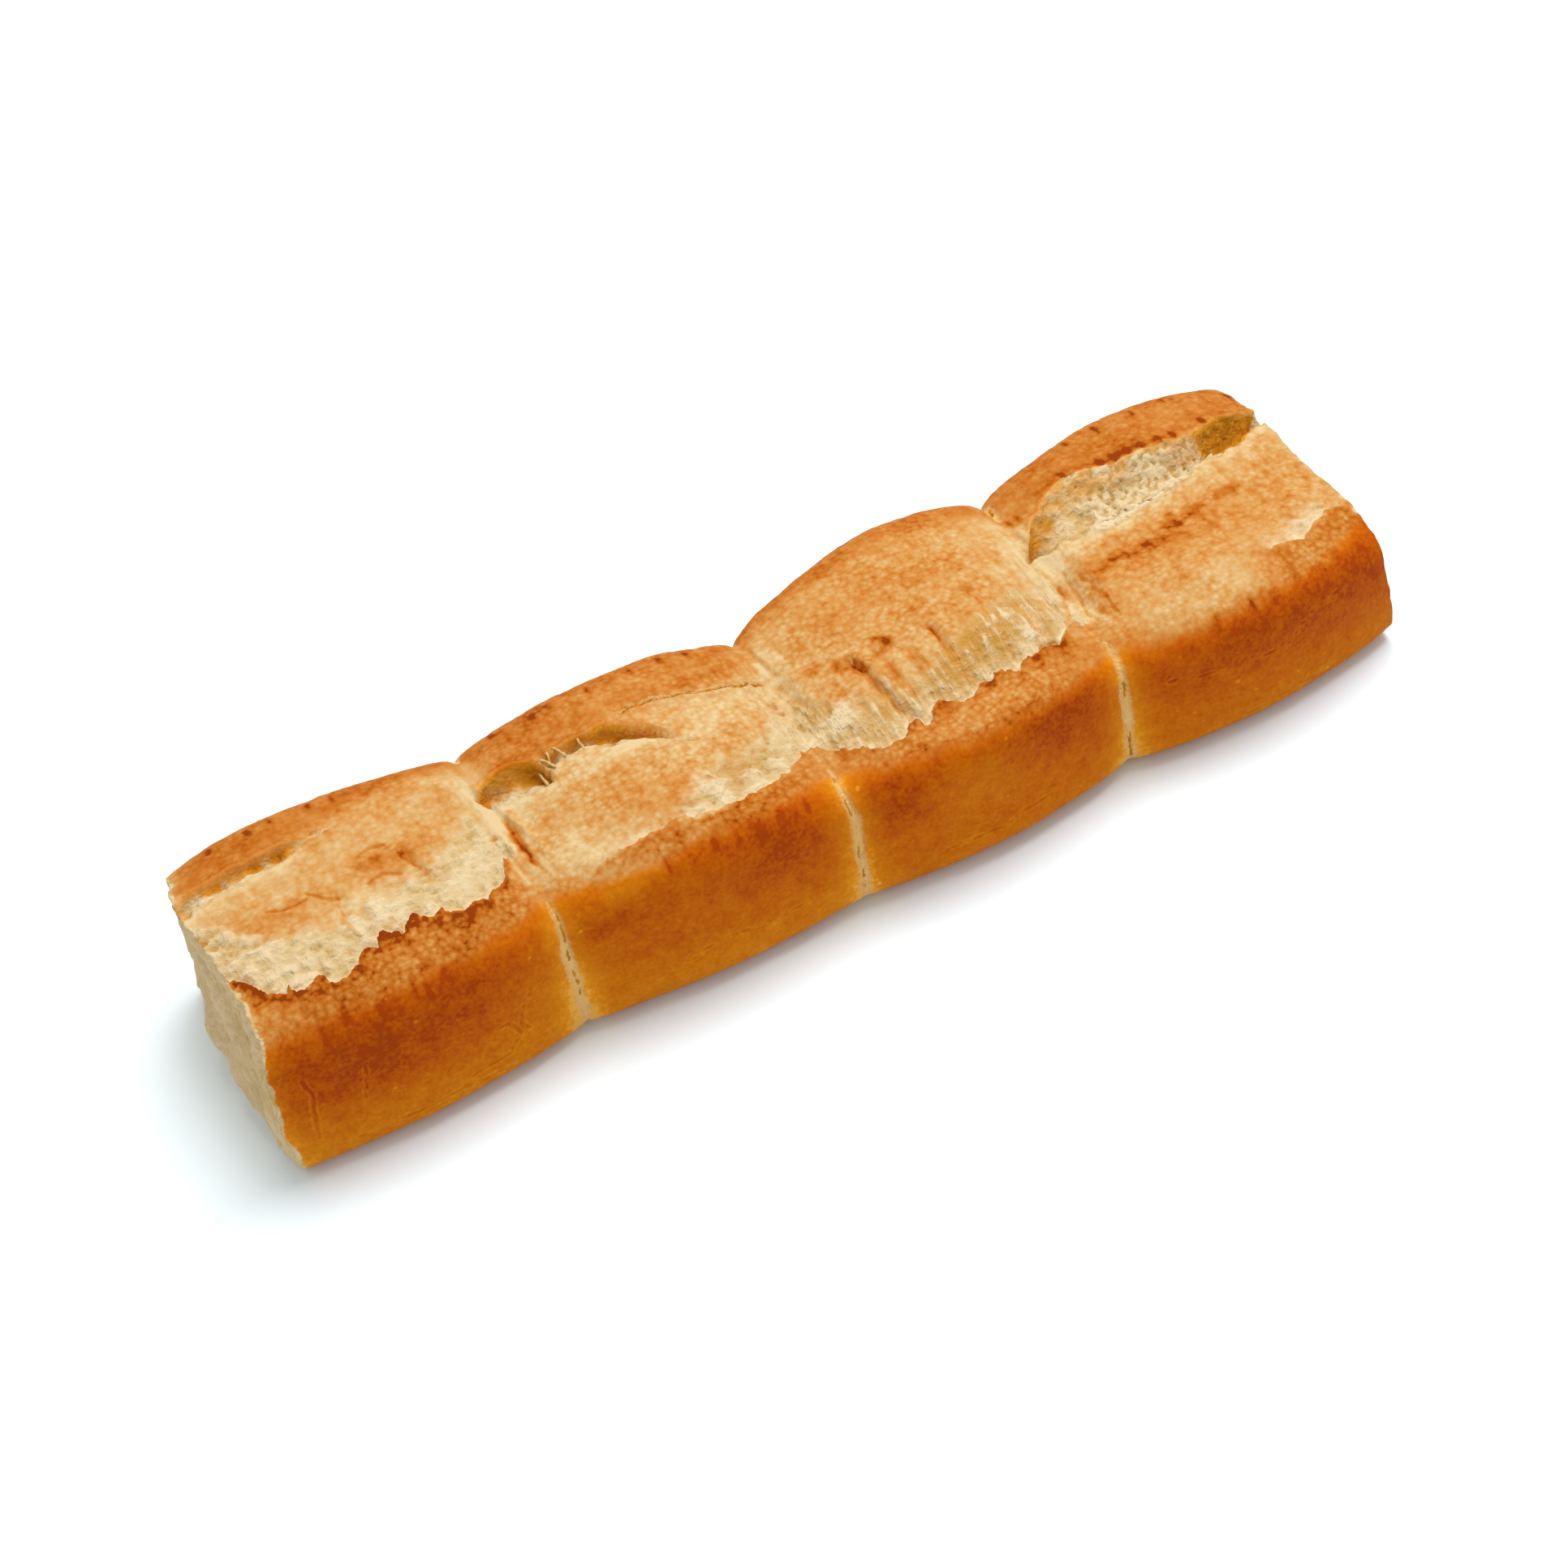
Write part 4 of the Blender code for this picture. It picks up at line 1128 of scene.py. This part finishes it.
STRANDS = (
    ((-61.6, -7.4), (-61.2, -0.5), 0.9, 0.4),
    ((-59.8, -8.2), (-57.6, -3.8), 1.1, 0.5),
    ((-57.6, -9.2), (-58.6, -4.8), 0.8, 0.4),
    ((-55.8, -9.8), (-54.0, -5.0), 0.9, 0.4),
    ((-49.6, -9.6), (-49.4, -4.9), 0.8, 0.2),
)
THREAD_STEPS = 14
THREAD_SIDES = 8
WANDER = 0.35
WAIST = 0.35
STRAND_STOPS = ((0.0, (0.48, 0.26, 0.06)), (0.5, (0.58, 0.385, 0.15)), (1.0, (0.64, 0.48, 0.25)))


def thread(start, end, thick, lifted, seed):
    """Rings of a thread from start to end, raised in its middle and thick at its roots."""
    part = np.linspace(0.0, 1.0, THREAD_STEPS)[:, None]
    ring = [np.argmin(np.abs(along[:, 0] - place[0])) for place in (start, end)]
    point = [np.argmin(np.abs(across[r] - place[1])) for r, place in zip(ring, (start, end))]
    first, last = rings[ring[0], point[0]], rings[ring[1], point[1]]
    away = out[ring[0], point[0]]
    path = first + (last - first) * part + away * lifted * 4.0 * part * (1.0 - part)
    wander = rough(part * 3.0 + seed, np.array([[0.5, 3.5, 6.5]]), 101, 3)
    path += WANDER * thick * part * (1.0 - part) * 4.0 * wander
    way = unit(np.gradient(path, axis=0))
    side = unit(np.cross(away, way))
    up = np.cross(way, side)
    turn = np.linspace(0.0, 2.0 * np.pi, THREAD_SIDES, endpoint=False)
    middle = 4.0 * part * (1.0 - part)
    radius = thick * (1.0 - WAIST * middle) * ramp(0.0, 0.08, middle + 0.02)
    radius = radius * (1.0 + 0.45 * rough(part * 5.0 + seed, turn / 1.1, 102, 2))
    around = np.cos(turn)[:, None] * side[:, None] + np.sin(turn)[:, None] * up[:, None]
    return path[:, None] + radius[..., None] * around


strand_points = []
strand_faces = []
for number, (start, end, thick, lifted) in enumerate(STRANDS):
    body = thread(start, end, 0.5 * thick, lifted, number * 7.0)
    body_points, body_quads, body_fans = join_rings(body)
    before = sum(len(points) for points in strand_points)
    strand_faces += (body_quads + before).tolist() + (body_fans + before).tolist()
    strand_points.append(body_points)
strands = make_mesh("crumb_strands", in_metres(np.concatenate(strand_points)), strand_faces)

strand_finish = Finish("crumb_strand", Roughness=0.85, Specular_IOR_Level=SHEEN)
strand_level = strand_finish.noise(strand_finish.place(), 600.0, 3.0) * 1.6 + 0.42
strand_color = strand_finish.graded(STRAND_STOPS, strand_level)
strand_finish.feed(strand_finish.shader.inputs["Base Color"], strand_color)
strands.data.materials.append(strand_finish.material)
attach(strands, "root")


# ----------------------------------------------------------
# The floor: plain, white and matte.

FLOOR_HALF = 3.0
FLOOR_WHITE = (0.84, 0.93, 0.97, 1.0)

floor_corners = np.array([(-1, -1, 0), (1, -1, 0), (1, 1, 0), (-1, 1, 0)]) * FLOOR_HALF
floor = make_mesh("floor", floor_corners, [(0, 1, 2, 3)])
floor_finish = Finish("floor_white", Base_Color=FLOOR_WHITE, Roughness=0.9)
floor.data.materials.append(floor_finish.material)


# ----------------------------------------------------------
# Light: a pale room all round and one big soft lamp above, a little behind and to the right.

ROOM_STRENGTH = 0.66
LAMP_PLACE = (0.4, 0.22, 1.44)
LAMP_SIDE = 0.9
LAMP_WATTS = 21.4

world = bpy.data.worlds.new("studio")
world.use_nodes = True
world.node_tree.nodes["Background"].inputs["Color"].default_value = (1.0, 1.0, 1.0, 1.0)
world.node_tree.nodes["Background"].inputs["Strength"].default_value = ROOM_STRENGTH
bpy.context.scene.world = world
lamp_data = bpy.data.lights.new("softbox", "AREA")
lamp_data.size = LAMP_SIDE
lamp_data.energy = LAMP_WATTS
lamp = bpy.data.objects.new("softbox", lamp_data)
lamp.location = LAMP_PLACE
lamp.rotation_euler = Vector(LAMP_PLACE).to_track_quat("Z", "Y").to_euler()
bpy.context.scene.collection.objects.link(lamp)


# ----------------------------------------------------------
# The camera: a long lens from the front, above and to the left, tipped so that the row climbs
# across the picture.

CAMERA_AIM = (-0.004, -0.0048, 0.0162)
CAMERA_AZIMUTH = -19.66
CAMERA_ELEVATION = 48.79
CAMERA_TIP = -10.98
CAMERA_DISTANCE = 0.8624
CAMERA_LENS = 78.3
SENSOR_WIDTH = 36.0

azimuth, elevation = np.radians((CAMERA_AZIMUTH, CAMERA_ELEVATION))
outwards = np.cos(elevation)
towards = Vector((np.sin(azimuth) * outwards, -np.cos(azimuth) * outwards, np.sin(elevation)))
camera_data = bpy.data.cameras.new("camera")
camera_data.lens = CAMERA_LENS
camera_data.sensor_width = SENSOR_WIDTH
camera = bpy.data.objects.new("camera", camera_data)
camera.location = Vector(CAMERA_AIM) + towards * CAMERA_DISTANCE
turned = towards.to_track_quat("Z", "Y") @ Quaternion((0.0, 0.0, 1.0), np.radians(CAMERA_TIP))
camera.rotation_euler = turned.to_euler()
bpy.context.scene.collection.objects.link(camera)
bpy.context.scene.camera = camera
bpy.context.scene.view_settings.view_transform = "Standard"
